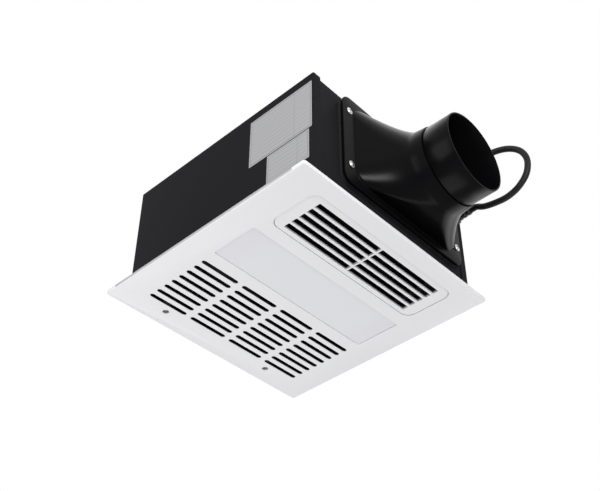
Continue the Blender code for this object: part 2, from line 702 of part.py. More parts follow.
def louvre_insert():
    """Separate outlet plate with leaning vanes, set in the panel's second window."""
    half_x, half_y = INSERT_WIDTH / 2 - INSERT_GAP, INSERT_LENGTH / 2 - INSERT_GAP
    back = PLATE_BACK + GAP + INSERT_BACK
    window = around(INSERT_X, INSERT_Y, half_x, half_y)
    made = place("louvre_insert",
                 stepped(*window, INSERT_CORNER, FACE + INSERT_INSET, PLATE_BACK + GAP, back,
                         INSERT_FLANGE), WHITE)
    first = LOUVRE_X - (LOUVRE_ROWS - 1) * LOUVRE_PITCH / 2
    openings = []
    for x, y in slot_centres(LOUVRE_ROWS, LOUVRE_PITCH, first, 2, LOUVRE_LENGTH, LOUVRE_BRIDGE):
        opening = around(x, y + INSERT_Y, LOUVRE_WIDTH / 2, LOUVRE_LENGTH / 2)
        openings.append(prism(rounded(*opening, LOUVRE_CORNER, 2), FACE - 0.002, back + 0.002))
    shape(made, gathered(openings))

    reach = LOUVRE_LENGTH + LOUVRE_BRIDGE / 2
    foot = PLATE_BACK + GAP / 2
    lean = VANE_RISE * math.tan(VANE_LEAN)
    vanes = []
    for i in range(LOUVRE_ROWS + 1):
        x = first + (i - 0.5) * LOUVRE_PITCH
        blade = [(x - VANE_THICK / 2, foot), (x + VANE_THICK / 2, foot),
                 (x + VANE_THICK / 2 - lean, foot + VANE_RISE),
                 (x - VANE_THICK / 2 - lean, foot + VANE_RISE)]
        vanes.append(prism(blade, -reach, reach, "Y"))
    return shape(made, gathered(vanes), "UNION")


def housing_shell():
    """Three walls folded from one sheet, with corner flanges over the duct side."""
    (x0, x1), y = WALL_X, WALL_Y
    half = SHEET / 2
    path = [(x1 - half, -y + LAP), (x1 - half, -y + half), (x0 + half, -y + half),
            (x0 + half, y - half), (x1 - half, y - half), (x1 - half, y - LAP)]
    walls = prism(folded(path, SHEET, SHEET_BEND), HOUSING_LIFT, HOUSING_HEIGHT)
    shell = place("housing_shell", walls, BLACK_PAINT)

    inner_end = SIDE_IN - DUCT_PANEL_FOLD
    lips = []
    for side in (-1, 1):
        edge, inner = side * (y - half), side * LIP_Y
        lips.append([(x0 + half, edge), (inner_end, edge), (inner_end, inner),
                     (x0 + half, inner)])
    ends = (y - half, y - half)
    lips.append([(x0 + half, -ends[0]), (x0 + SHEET + LIP, -ends[0]),
                 (x0 + SHEET + LIP, ends[1]), (x0 + half, ends[1])])
    for outline in lips:
        shape(shell, prism(outline, HOUSING_LIFT, HOUSING_LIFT + SHEET), "UNION")

    width, height = JOIST_SLOT
    holes = [prism(slot(yy, z, height, width), x0 - 0.002, x0 + 0.004, "X")
             for yy in JOIST_SLOTS_Y for z in JOIST_SLOTS_Z]
    holes.append(prism(circle(CABLE_Y, CABLE_Z, GLAND_BORE), x1 - 0.004, x1 + 0.002, "X"))
    return shape(shell, gathered(holes))


def top_cover():
    """Lid that closes the housing, with its sides folded down inside the walls."""
    y = WALL_Y - SHEET - GAP - SHEET / 2
    z = COVER_TOP - SHEET / 2
    path = [(-y, z - COVER_FOLD), (-y, z), (y, z), (y, z - COVER_FOLD)]
    outline = folded(path, SHEET, SHEET_BEND)
    low = WALL_X[0] + SHEET_BEND + SHEET
    return place("top_cover", prism(outline, low, SIDE_OUT - SHEET / 2, "X"), BLACK_PAINT)


def duct_panel():
    """Fourth side of the housing, behind the corner flanges, with the duct opening."""
    x = SIDE_OUT - SHEET / 2
    low, high = HOUSING_LIFT + SHEET / 2, COVER_TOP - SHEET - GAP - SHEET / 2
    path = [(x - LIP, low), (x, low), (x, high), (x - DUCT_PANEL_FOLD, high)]
    reach = WALL_Y - SHEET - SHEET_BEND - 2 * GAP
    panel = place("duct_panel", prism(folded(path, SHEET, SHEET_BEND), -reach, reach, "Y"),
                  BLACK_PAINT)
    beyond = (SIDE_IN - 0.004, SIDE_OUT + 0.004)
    cuts = [prism(circle(y, z, SCREW_SHANK + GAP, 12), *beyond, "X")
            for y in FLANGE_SCREWS_Y for z in FLANGE_SCREWS_Z]
    cuts.append(prism(circle(CABLE_Y, CABLE_Z, GLAND_BORE), *beyond, "X"))
    opening = rounded((OUTLET_CUT_Y, OUTLET_Y), (SCROLL_BOTTOM, SCROLL_TOP - SHEET), 0.0030)
    cuts.append(prism(opening, *beyond, "X"))
    relief = CASING_HALF + SHEET + 0.0010
    lip_cut = around(SIDE_IN - LIP, 0, LIP - GAP / 2, relief)
    cuts.append(prism(rounded(*lip_cut, 0.0010), HOUSING_LIFT - 0.002, HOUSING_LIFT + 0.0060))
    return shape(panel, gathered(cuts))


def matched(y_range, z_range, corner, x):
    """A rounded rectangle across X with as many points as the round rings have."""
    steps = RING_POINTS // 4 - 1
    return [(x, y, z) for y, z in rounded(y_range, z_range, corner, steps)]


def round_ring(radius, x):
    """A round ring across X, point for point with matched()."""
    turns = [2 * math.pi * (i + 0.5) / RING_POINTS for i in range(RING_POINTS)]
    return [(x, DUCT_Y + radius * math.cos(a), DUCT_Z + radius * math.sin(a)) for a in turns]


def hood(draw_in, x_start, x_end, radius, steps):
    """Rings of the hood, from the rectangle on the flange to the round neck."""
    foot = matched(inset(BASE_Y, draw_in), inset(BASE_Z, draw_in), BASE_CORNER - draw_in, 0)
    neck = round_ring(radius, 0)
    rings = []
    for step in range(steps + 1):
        t = step / steps
        blend = 1 - (1 - t) ** HOOD_POWER
        x = x_start + (x_end - x_start) * t
        rings.append([(x, a[1] + (b[1] - a[1]) * blend, a[2] + (b[2] - a[2]) * blend)
                      for a, b in zip(foot, neck)])
    return rings


def duct_adapter():
    """Moulded adapter: screw flange, hood, neck and round collar, hollow all through."""
    back = FLANGE_FRONT - FLANGE_THICK
    wall = ADAPTER_WALL
    edge = 0.0008
    outer = [
        matched(FLANGE_Y, FLANGE_Z, FLANGE_CORNER, back),
        matched(FLANGE_Y, FLANGE_Z, FLANGE_CORNER, FLANGE_FRONT - edge),
        matched(inset(FLANGE_Y, edge), inset(FLANGE_Z, edge), FLANGE_CORNER - edge, FLANGE_FRONT),
        matched(inset(BASE_Y, -HOOD_FILLET), inset(BASE_Z, -HOOD_FILLET),
                BASE_CORNER + HOOD_FILLET, FLANGE_FRONT),
    ]
    outer += hood(0.0, FLANGE_FRONT + 0.0012, NECK_X, NECK_RADIUS, HOOD_STEPS)
    outer += [round_ring(NECK_RADIUS - 0.0002, NECK_X + 0.0015),
              round_ring(NECK_TIP_RADIUS, NECK_TIP_X - 0.0008),
              round_ring(NECK_TIP_RADIUS - 0.0008, NECK_TIP_X),
              round_ring(COLLAR_RADIUS - 0.0014, NECK_TIP_X + 0.0001),
              round_ring(COLLAR_RADIUS - 0.0014, COLLAR_X),
              round_ring(COLLAR_RADIUS, COLLAR_X + 0.0001),
              round_ring(COLLAR_RADIUS - COLLAR_TAPER, MOUTH_X - 0.0008),
              round_ring(COLLAR_RADIUS - COLLAR_TAPER - 0.0006, MOUTH_X)]
    inner = [round_ring(BORE, MOUTH_X), round_ring(BORE, NECK_X - 0.0010)]
    inner += hood(wall, back, NECK_X - 0.0012, BORE + 0.0002, HOOD_STEPS - 3)[::-1]
    adapter = place("duct_adapter", skin(outer + inner, loop=True), BLACK_PLASTIC, sharp=35)

    stops = []
    for angle in (-60, -120):
        a = math.radians(angle)
        stub = rounded(*around(0, 0, STOP_SIZE / 2, STOP_SIZE / 2), 0.0006, 1)
        bar = prism(stub, BORE - 0.0028, BORE + wall / 2)
        turn = Matrix.Rotation(a, 4, "X") @ ALONG_Y
        x = FLAP_X - FLAP_THICK / 2 - GAP - STOP_SIZE / 2
        stops.append(moved(bar, (x, DUCT_Y, DUCT_Z), turn))
    shape(adapter, gathered(stops), "UNION")

    cuts = [prism(circle(y, z, SCREW_SHANK + GAP, 12), back - 0.003, FLANGE_FRONT + 0.003, "X")
            for y in FLANGE_SCREWS_Y for z in FLANGE_SCREWS_Z]
    sockets = prism(circle(FLAP_X, DUCT_Z + FLAP_PIN_RISE, FLAP_PIN_RADIUS + RUNNING, 16),
                    DUCT_Y - pin_half() - GAP, DUCT_Y + pin_half() + GAP, "Y")
    cuts.append(sockets)
    return shape(adapter, gathered(cuts))


def pin_half():
    """Half the length of the flap's pin, which ends in sockets in the bore's wall."""
    return math.sqrt(BORE ** 2 - FLAP_PIN_RISE ** 2) + FLAP_SOCKET


def adapter_gasket():
    """Foam gasket between the adapter's flange and the housing."""
    outer_y, outer_z = inset(FLANGE_Y, GASKET_INSET), inset(FLANGE_Z, GASKET_INSET)
    inner_y, inner_z = inset(outer_y, GASKET_BAND), inset(outer_z, GASKET_BAND)
    rings = []
    for (ys, zs), corner in (((outer_y, outer_z), FLANGE_CORNER - GASKET_INSET),
                             ((inner_y, inner_z), BASE_CORNER / 2)):
        rings.append([[(x, y, z) for y, z in rounded(ys, zs, corner, 4)] for x in GASKET_X])
    (outer_low, outer_high), (inner_low, inner_high) = rings
    gasket = place("adapter_gasket", skin([outer_low, outer_high, inner_high, inner_low], True),
                   RUBBER)
    holes = [prism(circle(y, z, SCREW_SHANK + GAP, 12), GASKET_X[0] - 0.002,
                   GASKET_X[1] + 0.002, "X")
             for y in FLANGE_SCREWS_Y for z in FLANGE_SCREWS_Z]
    return shape(gasket, gathered(holes))


def adapter_screws():
    """Four washer-head screws through the flange."""
    number = 0
    for z in FLANGE_SCREWS_Z:
        for y in FLANGE_SCREWS_Y:
            number += 1
            seat = FLANGE_FRONT + GAP
            screw(f"adapter_screw_{number}", (seat, y, z), (-1, 0, 0), seat - SIDE_IN, ZINC, True)


def damper():
    """Flap that the outgoing air lifts and its own weight shuts, and the pin it hangs on."""
    pin_z = DUCT_Z + FLAP_PIN_RISE
    centre = (FLAP_X, DUCT_Y, pin_z)
    pin = moved(lathe([(0, -pin_half()), (FLAP_PIN_RADIUS, -pin_half()),
                       (FLAP_PIN_RADIUS, pin_half()), (0, pin_half())], 16), centre, ALONG_Y)
    place("damper_pin", pin, ZINC, centre)

    radius = BORE - FLAP_CLEAR
    disc = prism(circle(DUCT_Y, DUCT_Z, radius, 40), FLAP_X - FLAP_THICK / 2,
                 FLAP_X + FLAP_THICK / 2, "X")
    flap = place("damper_flap", disc, BLACK_PLASTIC, centre)
    reach = math.sqrt(radius ** 2 - FLAP_PIN_RISE ** 2) - 0.0030
    barrel = prism(circle(FLAP_X, pin_z, FLAP_BARREL_RADIUS, 20), DUCT_Y - reach, DUCT_Y + reach,
                   "Y")
    shape(flap, barrel, "UNION")
    rib_z = DUCT_Z - radius / 3
    ribs = [prism(rounded(*around(FLAP_X, z, 0.0016, 0.0010), 0.0003, 1), DUCT_Y - half,
                  DUCT_Y + half, "Y")
            for z, half in ((rib_z, radius * 0.80), (DUCT_Z - radius * 0.72, radius * 0.50))]
    shape(flap, gathered(ribs), "UNION")
    bore = prism(circle(FLAP_X, pin_z, FLAP_PIN_RADIUS + RUNNING, 20), DUCT_Y - radius,
                 DUCT_Y + radius, "Y")
    return shape(flap, bore)


def scroll_outline(extra=0.0):
    """Plan of the scroll, from the outlet round the wheel to the cut-off and back."""
    cx, cy = BLOWER_X, BLOWER_Y
    points = [(SIDE_IN - GAP, OUTLET_Y + extra)]
    start = math.pi / 2
    for i in range(SCROLL_STEPS + 1):
        turned = SCROLL_SWEEP * i / SCROLL_STEPS
        radius = scroll_radius(turned) + extra
        a = start + turned
        points.append((cx + radius * math.cos(a), cy + radius * math.sin(a)))
    tip = points[-1]
    cut = OUTLET_CUT_Y - extra
    points.append((tip[0] + 0.0015, (tip[1] + cut) / 2))
    points.append((tip[0] + 0.0065, cut))
    points.append((SIDE_IN - GAP, cut))
    return points


def blower_scroll():
    """Sheet-steel scroll, open below for the inlet plate and at the duct side."""
    scroll = place("blower_scroll", prism(scroll_outline(SHEET), SCROLL_BOTTOM, SCROLL_TOP), ZINC)
    hollow = scroll_outline()
    hollow[0] = (SIDE_IN + 0.002, hollow[0][1])
    hollow[-1] = (SIDE_IN + 0.002, hollow[-1][1])
    shape(scroll, prism(hollow, SCROLL_BOTTOM - 0.002, SCROLL_TOP - SHEET))
    pads = [lathe([(0, SCROLL_TOP - SHEET / 2), (PAD_RADIUS * 1.4, SCROLL_TOP - SHEET / 2),
                   (PAD_RADIUS, COVER_TOP - SHEET - GAP), (0, COVER_TOP - SHEET - GAP)], 16)
            for _ in range(4)]
    reach = scroll_radius(SCROLL_SWEEP) - PAD_MARGIN
    places = [(BLOWER_X - reach, BLOWER_Y + PAD_MARGIN), (BLOWER_X, BLOWER_Y - reach),
              (BLOWER_X + PAD_MARGIN, BLOWER_Y + reach), (SIDE_IN - 4 * PAD_MARGIN,
                                                         (OUTLET_Y + OUTLET_CUT_Y) / 2)]
    raised = [moved(pad, (x, y, 0)) for pad, (x, y) in zip(pads, places)]
    return shape(scroll, gathered(raised), "UNION")


def scroll_inlet():
    """Plate under the scroll, with a bell mouth that reaches into the wheel."""
    top = SCROLL_BOTTOM - GAP
    plate = place("scroll_inlet", prism(scroll_outline(INLET_FLANGE), top - SHEET, top), ZINC)
    hole = INLET_RADIUS + BELL_ROUND
    shape(plate, prism(circle(BLOWER_X, BLOWER_Y, hole, 24), top - 0.004, top + 0.004))
    middle = top - SHEET / 2
    path = [(hole + SHEET, middle), *arc((hole, middle + BELL_ROUND), BELL_ROUND, -math.pi / 2,
                                         -math.pi, 4), (INLET_RADIUS, middle + BELL_DEPTH)]
    bell = lathe(folded(path, SHEET * 0.9), 24, loop=True)
    return shape(plate, moved(bell, (BLOWER_X, BLOWER_Y, 0)), "UNION")


def blade_outline(inner, outer, thickness, curve, steps):
    """Plan of one forward-curved blade that starts on the u axis."""
    middle = []
    for i in range(steps + 1):
        t = i / steps
        radius = inner + (outer - inner) * t
        a = curve * t * t
        middle.append((radius * math.cos(a), radius * math.sin(a)))
    return folded(middle, thickness)


def blower_wheel():
    """Squirrel-cage wheel: dished back plate, curved blades and front ring."""
    turned = [(WHEEL_RADIUS, WHEEL_TOP - WHEEL_WALL), (WHEEL_RADIUS, WHEEL_TOP),
              (DISH_RADIUS - WHEEL_WALL, WHEEL_TOP),
              (DISH_RADIUS - 0.0020 - WHEEL_WALL, DISH_FLOOR + WHEEL_WALL),
              (HUB_RADIUS, DISH_FLOOR + WHEEL_WALL), (HUB_RADIUS, DISH_FLOOR + 0.0035),
              (SHAFT_RADIUS + RUNNING, DISH_FLOOR + 0.0035), (SHAFT_RADIUS + RUNNING, HUB_BOTTOM),
              (HUB_RADIUS, HUB_BOTTOM), (HUB_RADIUS, DISH_FLOOR),
              (DISH_RADIUS - 0.0020, DISH_FLOOR), (DISH_RADIUS, WHEEL_TOP - WHEEL_WALL)]
    centre = (BLOWER_X, BLOWER_Y, WHEEL_BOTTOM)
    spot = (BLOWER_X, BLOWER_Y, 0)
    wheel = place("blower_wheel", moved(lathe(turned, 28, loop=True), spot), BLACK_PLASTIC, centre)
    ring = [(WHEEL_RADIUS, WHEEL_BOTTOM), (WHEEL_RADIUS, WHEEL_BOTTOM + WHEEL_WALL),
            (WHEEL_INNER - 0.0006, WHEEL_BOTTOM + WHEEL_WALL), (WHEEL_INNER - 0.0006, WHEEL_BOTTOM)]
    plan = blade_outline(WHEEL_INNER, WHEEL_RADIUS - 0.0006, BLADE_THICK, math.radians(9),
                         BLADE_STEPS)
    blades = []
    for i in range(BLADES):
        blade = prism(plan, WHEEL_BOTTOM + WHEEL_WALL / 2, WHEEL_TOP - WHEEL_WALL / 2)
        blades.append(moved(blade, spot, Matrix.Rotation(2 * math.pi * i / BLADES, 4, "Z")))
    tool = gathered(blades)
    bmesh.ops.translate(tool, vec=-Vector(centre), verts=tool.verts)
    shape(wheel, tool, "UNION").modifiers[-1].object.location = centre
    front = moved(lathe(ring, 28, loop=True), (0, 0, -WHEEL_BOTTOM))
    shape(wheel, front, "UNION").modifiers[-1].object.location = centre
    return wheel


def blower_drive():
    """Exhaust motor inside the wheel's dish, its shaft, and the plate that it hangs from."""
    outline = []
    for i in range(3):
        middle = 2 * math.pi * i / 3
        outline += arc((0, 0), PLATE_RADIUS, middle - 1.75, middle - 0.30, 4)
        outline += arc((0, 0), PLATE_REACH, middle - 0.15, middle + 0.15, 2)
    outline = [(BLOWER_X + u, BLOWER_Y + v) for u, v in outline]
    place("motor_plate", prism(outline, PLATE_BOTTOM, PLATE_BOTTOM + PLATE_SHEET), ZINC)

    top = MOTOR_TOP
    seam = (MOTOR_BOTTOM + top) / 2
    bore = SHAFT_RADIUS + GAP
    can = [(0, top), (MOTOR_RADIUS - 0.0040, top), (MOTOR_RADIUS - 0.0008, top - 0.0030),
           (MOTOR_RADIUS - 0.0008, seam + 0.0015), (MOTOR_RADIUS, seam + 0.0015),
           (MOTOR_RADIUS, seam - 0.0015), (MOTOR_RADIUS - 0.0008, seam - 0.0015),
           (MOTOR_RADIUS - 0.0008, MOTOR_BOTTOM + 0.0030), (MOTOR_RADIUS - 0.0040, MOTOR_BOTTOM),
           (MOTOR_BOSS, MOTOR_BOTTOM), (MOTOR_BOSS - 0.0010, MOTOR_BOTTOM - 0.0025),
           (bore, MOTOR_BOTTOM - 0.0025), (bore, top - 0.0080), (0, top - 0.0080)]
    place("blower_motor", moved(lathe(can, 20), (BLOWER_X, BLOWER_Y, 0)), MOTOR_GREY)
    low, high = HUB_BOTTOM - 0.0010, top - 0.0080 - GAP
    shaft = lathe([(0, low), (SHAFT_RADIUS, low + 0.0006), (SHAFT_RADIUS, high), (0, high)], 16)
    place("blower_shaft", moved(shaft, (BLOWER_X, BLOWER_Y, 0)), STEEL,
          (BLOWER_X, BLOWER_Y, WHEEL_BOTTOM))


def heater_casing():
    """Sheet casing round the roller: curved guide, tongue and two end plates."""
    x0, x1 = CASING_X
    bottom = 0.0008
    back = x1 - GAP - SHEET / 2
    steps = 8
    guide = [(back, bottom)]
    for i in range(steps + 1):
        t = i / steps
        radius = GUIDE_START + GUIDE_GROWTH * (1 - t)
        a = GUIDE_SWEEP * t
        guide.append((ROLLER_X + radius * math.cos(a), ROLLER_Z + radius * math.sin(a)))
    front = x0 + GAP + SHEET / 2
    tongue = [(front, bottom), (front, TONGUE_Z),
              (ROLLER_X - TONGUE[0], ROLLER_Z + TONGUE[1])]
    casing = place("heater_casing", prism(folded(guide, SHEET), -CASING_HALF, CASING_HALF, "Y"),
                   ZINC)
    shape(casing, prism(folded(tongue, SHEET, 0.0030), -CASING_HALF, CASING_HALF, "Y"), "UNION")
    plate = [(x0, GAP), (x1, GAP), (x1, 0.0560), (x1 - 0.0150, CASING_TOP),
             (ROLLER_X - 0.0190, CASING_TOP), (x0, 0.0400)]
    for side in (-1, 1):
        y = side * CASING_HALF
        shape(casing, prism(plate, y - SHEET / 2, y + SHEET / 2, "Y"), "UNION")
        hole = circle(ROLLER_X, ROLLER_Z, BUSH_RADIUS + GAP, 20)
        shape(casing, prism(hole, y - 0.003, y + 0.003, "Y"))
    return casing


def heater_roller():
    """Long cross-flow roller of the heater, its rod, end bush and motor."""
    centre = (ROLLER_X, 0, ROLLER_Z)
    disc = [(ROLLER_RADIUS, -ROLLER_HALF), (ROLLER_RADIUS, -ROLLER_HALF + 0.0015),
            (0.0060, -ROLLER_HALF + 0.0015), (0.0060, -ROLLER_HALF + 0.0060),
            (ROD_RADIUS + RUNNING, -ROLLER_HALF + 0.0060), (ROD_RADIUS + RUNNING, -ROLLER_HALF)]
    roller = place("heater_roller", moved(lathe(disc, 16, loop=True), centre, ALONG_Y), ALUMINIUM,
                   centre)
    plan = blade_outline(ROLLER_INNER, ROLLER_RADIUS - 0.0004, 0.0010, math.radians(16), 1)
    blades = []
    for i in range(ROLLER_BLADES):
        blade = prism(plan, -ROLLER_HALF + 0.0008, ROLLER_HALF - 0.0008)
        blades.append(moved(blade, (0, 0, 0), Matrix.Rotation(2 * math.pi * i / ROLLER_BLADES, 4,
                                                              "Z")))
    discs = []
    for low in (-0.00075, ROLLER_HALF - 0.0015):
        ring = [(ROLLER_RADIUS, low), (ROLLER_RADIUS, low + 0.0015),
                (ROD_RADIUS + RUNNING, low + 0.0015), (ROD_RADIUS + RUNNING, low)]
        discs.append(lathe(ring, 16, loop=True))
    for tool in (gathered(blades), gathered(discs)):
        moved(tool, (0, 0, 0), ALONG_Y)
        shape(roller, tool, "UNION").modifiers[-1].object.location = centre

    plate = CASING_HALF + SHEET / 2
    motor_face = plate + GAP
    rod_end = motor_face + 0.0080
    rod = lathe([(0, -plate - 0.0040), (ROD_RADIUS, -plate - 0.0034), (ROD_RADIUS, rod_end),
                 (0, rod_end)], 16)
    place("heater_rod", moved(rod, centre, ALONG_Y), STEEL, centre)

    bore = ROD_RADIUS + RUNNING
    bush = [(bore, -plate - 0.0050), (0.0100, -plate - 0.0050), (0.0100, -plate - GAP),
            (BUSH_RADIUS, -plate - GAP), (BUSH_RADIUS, -plate + 0.0025), (bore, -plate + 0.0025)]
    place("heater_bush", moved(lathe(bush, 16, loop=True), centre, ALONG_Y), RUBBER)

    far = motor_face + HEATER_MOTOR_LENGTH
    radius = HEATER_MOTOR_RADIUS
    can = [(0, far), (radius - 0.0030, far), (radius, far - 0.0030), (radius, motor_face),
           (BUSH_RADIUS, motor_face), (BUSH_RADIUS, motor_face - 0.0025),
           (bore + 0.0001, motor_face - 0.0025), (bore + 0.0001, rod_end + GAP),
           (0, rod_end + GAP)]
    motor = place("heater_motor", moved(lathe(can, 20), centre, ALONG_Y), MOTOR_GREY)
    ears = [prism(rounded(*around(ROLLER_X + side * radius, ROLLER_Z, 0.0070, 0.0065), 0.0040, 2),
                  motor_face, motor_face + 0.0016, "Y") for side in (-1, 1)]
    shape(motor, gathered(ears), "UNION")


def heater_core():
    """Finned heating core between two ceramic end blocks, and its thermal cut-out."""
    x0, x1 = inset(CASING_X, CORE_MARGIN)
    z0, z1 = CORE_Z
    inner_face = CASING_HALF - SHEET / 2
    reach = inner_face - END_BLOCK / 2
    core = place("heater_core", prism([(x0, z0), (x1, z0), (x1, z1), (x0, z1)], -reach, reach,
                                      "Y"), ALUMINIUM)
    bay = (x1 - x0) / CORE_BAYS
    run = 2 * (inner_face - END_BLOCK)
    cell = run / CORE_CELLS
    cells = []
    for i in range(CORE_BAYS):
        u = inset((x0 + i * bay, x0 + (i + 1) * bay), CORE_RIB)
        for k in range(CORE_CELLS):
            v = inset((-run / 2 + k * cell, -run / 2 + (k + 1) * cell), 0.0010)
            outline = [(u[0], v[0]), (u[1], v[0]), (u[1], v[1]), (u[0], v[1])]
            cells.append(prism(outline, z0 - 0.002, z1 + 0.002))
    shape(core, gathered(cells))

    for number, side in enumerate((-1, 1), 1):
        ends = sorted((side * (inner_face - GAP), side * (inner_face - END_BLOCK)))
        wide = (x0 - 0.0014, x1 + 0.0014)
        tall = (z0 - 0.0012, z1 + 0.0012)
        block = place(f"core_block_{number}",
                      prism(rounded(wide, tall, 0.0010, 1), *ends, "Y"), CERAMIC)
        pocket = sorted((side * (reach + GAP), side * (inner_face - END_BLOCK - 0.002)))
        shape(block, prism([(x0 - GAP, z0 - GAP), (x1 + GAP, z0 - GAP), (x1 + GAP, z1 + GAP),
                            (x0 - GAP, z1 + GAP)], *pocket, "Y"))

    face = -CASING_HALF - SHEET / 2 - GAP
    cutout = [(0, face - 0.0062), (CUTOUT_RADIUS - 0.0015, face - 0.0062),
              (CUTOUT_RADIUS, face - 0.0050), (CUTOUT_RADIUS, face - 0.0012),
              (CUTOUT_RADIUS + 0.0012, face - 0.0012), (CUTOUT_RADIUS + 0.0012, face), (0, face)]
    place("thermal_cutout", moved(lathe(cutout, 16), (CASING_X[0] + 0.0200, 0, 0.0260), ALONG_Y),
          BLACK_PLASTIC)


def wiring():
    """Junction box on the duct side, its lid, and the terminal block inside."""
    x1 = SIDE_IN - GAP
    y0, y1 = BOX_Y
    z0, z1 = BOX_Z
    box = place("wiring_box", prism([(y0, z0), (y1, z0), (y1, z1), (y0, z1)], BOX_X, x1, "X"), ZINC)
    hollow = [(y0 + SHEET, z0 + SHEET), (y1 - SHEET, z0 + SHEET), (y1 - SHEET, z1 - SHEET),
              (y0 + SHEET, z1 - SHEET)]
    shape(box, prism(hollow, BOX_X - 0.002, x1 - SHEET, "X"))
    shape(box, prism(circle(CABLE_Y, CABLE_Z, GLAND_BORE), x1 - 0.003, x1 + 0.002, "X"))

    lid_x = BOX_X - GAP - SHEET / 2
    ends = inset((y0, y1), LID_IN)
    path = [(ends[0], lid_x + LID_FOLD), (ends[0], lid_x), (ends[1], lid_x),
            (ends[1], lid_x + LID_FOLD)]
    outline = folded(path, SHEET, SHEET_BEND)
    rings = [[(v, u, z) for u, v in outline] for z in inset((z0, z1), LID_IN)]
    place("wiring_lid", skin(rings), ZINC)

    floor = z0 + SHEET + GAP
    x, y = BOX_X + BLOCK_FROM_LID, (y0 + y1) / 2
    reach = (y1 - y0) / 2 - SHEET - BLOCK_ENDS
    top = floor + BLOCK_HEIGHT
    block = place("terminal_block", prism(rounded(*around(x, y, BLOCK_HALF, reach), 0.0012, 1),
                                          floor, top), NYLON)
    poles = int(2 * reach / POLE_PITCH)
    wells = [prism(circle(x + s * BLOCK_HALF / 2, y + (i - (poles - 1) / 2) * POLE_PITCH,
                          POLE_RADIUS, 10), top - POLE_DEPTH, top + 0.0040)
             for i in range(poles) for s in (-1, 1)]
    shape(block, gathered(wells))


def cable_gland():
    """Strain relief screwed through the housing's corner flange, and the nut behind it."""
    seat = WALL_X[1] + GAP
    flange = seat + GLAND_FLANGE_THICK
    tip = flange + RELIEF_LENGTH
    inside = SIDE_IN - SHEET - GAP - 0.0090
    neck = GLAND_BORE - GAP
    ribs = 3
    profile = [(0, inside), (neck - 0.0004, inside), (neck, inside + 0.0006), (neck, seat),
               (GLAND_FLANGE, seat), (GLAND_FLANGE, flange - 0.0006),
               (GLAND_FLANGE - 0.0006, flange)]
    span = tip - flange
    start = neck + 0.0010
    for i in range(ribs):
        a, b = flange + span * (i + 0.15) / ribs, flange + span * (i + 0.80) / ribs
        outer = start + (GLAND_TIP - start) * (i + 0.5) / ribs
        profile += [(outer - 0.0005, a), (outer, a + 0.0005), (outer - 0.0001, b),
                    (outer - 0.0007, b + 0.0003)]
    profile += [(GLAND_TIP - 0.0004, tip), (0, tip)]
    place("cable_gland", moved(lathe(profile, 16), (0, CABLE_Y, CABLE_Z), ALONG_X), BLACK_PLASTIC)

    nut_high = SIDE_IN - GAP - SHEET - GAP
    hexagon = arc((CABLE_Y, CABLE_Z), 0.0070, math.pi / 6, 13 * math.pi / 6, 6)[:-1]
    nut = place("gland_nut", prism(hexagon, nut_high - 0.0045, nut_high, "X"), BLACK_PLASTIC)
    shape(nut, prism(circle(CABLE_Y, CABLE_Z, neck + RUNNING, 24), nut_high - 0.006,
                     nut_high + 0.001, "X"))


def smooth_route(points, spacing):
    """Even points on a smooth curve through the given ones, with the two ends left straight."""
    knots = [Vector(p) for p in points]
    fine = []
    for a, b, c, d in zip(knots, knots[1:], knots[2:], knots[3:]):
        for k in range(16):
            t = k / 16
            fine.append(0.5 * ((2 * b) + (c - a) * t + (2 * a - 5 * b + 4 * c - d) * t ** 2
                               + (3 * b - a - 3 * c + d) * t ** 3))
    fine.append(knots[-2])
    lengths = [0.0]
    for a, b in zip(fine, fine[1:]):
        lengths.append(lengths[-1] + (b - a).length)
    count = round(lengths[-1] / spacing)
    even, j = [], 0
    for i in range(count + 1):
        want = lengths[-1] * i / count
        while j + 2 < len(lengths) and lengths[j + 1] < want:
            j += 1
        t = (want - lengths[j]) / (lengths[j + 1] - lengths[j])
        even.append(fine[j].lerp(fine[j + 1], min(max(t, 0.0), 1.0)))
    return [knots[0], *even, knots[-1]]


def tube(name, points, radius, resolution, finish):
    """A round tube along points, closed at both ends."""
    data = bpy.data.curves.new(name, "CURVE")
    data.dimensions = "3D"
    data.bevel_depth = radius
    data.bevel_resolution = resolution
    data.use_fill_caps = True
    line = data.splines.new("POLY")
    line.points.add(len(points) - 1)
    for spot, p in zip(line.points, points):
        spot.co = (*p, 1.0)
    made = bpy.data.objects.new(name, data)
    bpy.context.scene.collection.objects.link(made)
    data.materials.append(material(name, *finish))
    return made


def coil_points():
    """Centre line of the coil: in along the lower layer, up, and out along the upper one."""
    turns = COIL_TURNS * COIL_LAYERS
    middle = COIL_TURNS
    climb = 0.25
    points = []
    total = turns * LOOP_POINTS
    for i in range(total + 1):
        t = i / LOOP_POINTS
        away = abs(t - middle)
        if away < climb:
            away = climb / 2 + away ** 2 / (2 * climb)
        radius = COIL_START - TURN_PITCH * (middle - away)
        rise = min(max((t - middle + climb) / (2 * climb), 0.0), 1.0)
        z = COIL_Z + TURN_PITCH * rise * rise * (3 - 2 * rise)
        a = math.pi / 2 + 2 * math.pi * t
        points.append(Vector((COIL_CENTRE[0] + radius * math.cos(a),
                              COIL_CENTRE[1] + radius * math.sin(a), z)))
    lead = 2 * CABLE_RADIUS
    first = Vector((points[0].x + lead, points[0].y, COIL_Z))
    last = points[-1] + Vector((-lead, 0, 0))
    return [first, *points, last]


def least_gap(points, radius):
    """Least distance between two stretches of one tube that aren't next to each other."""
    fine = []
    for a, b in zip(points, points[1:]):
        fine += [a.lerp(b, k / 4) for k in range(4)]
    spacing = (points[2] - points[1]).length / 4
    skip = int(math.pi * 2 * radius / spacing) + 1
    least = 1.0
    for i, a in enumerate(fine):
        for b in fine[i + skip:]:
            least = min(least, (a - b).length)
    return least - 2 * radius


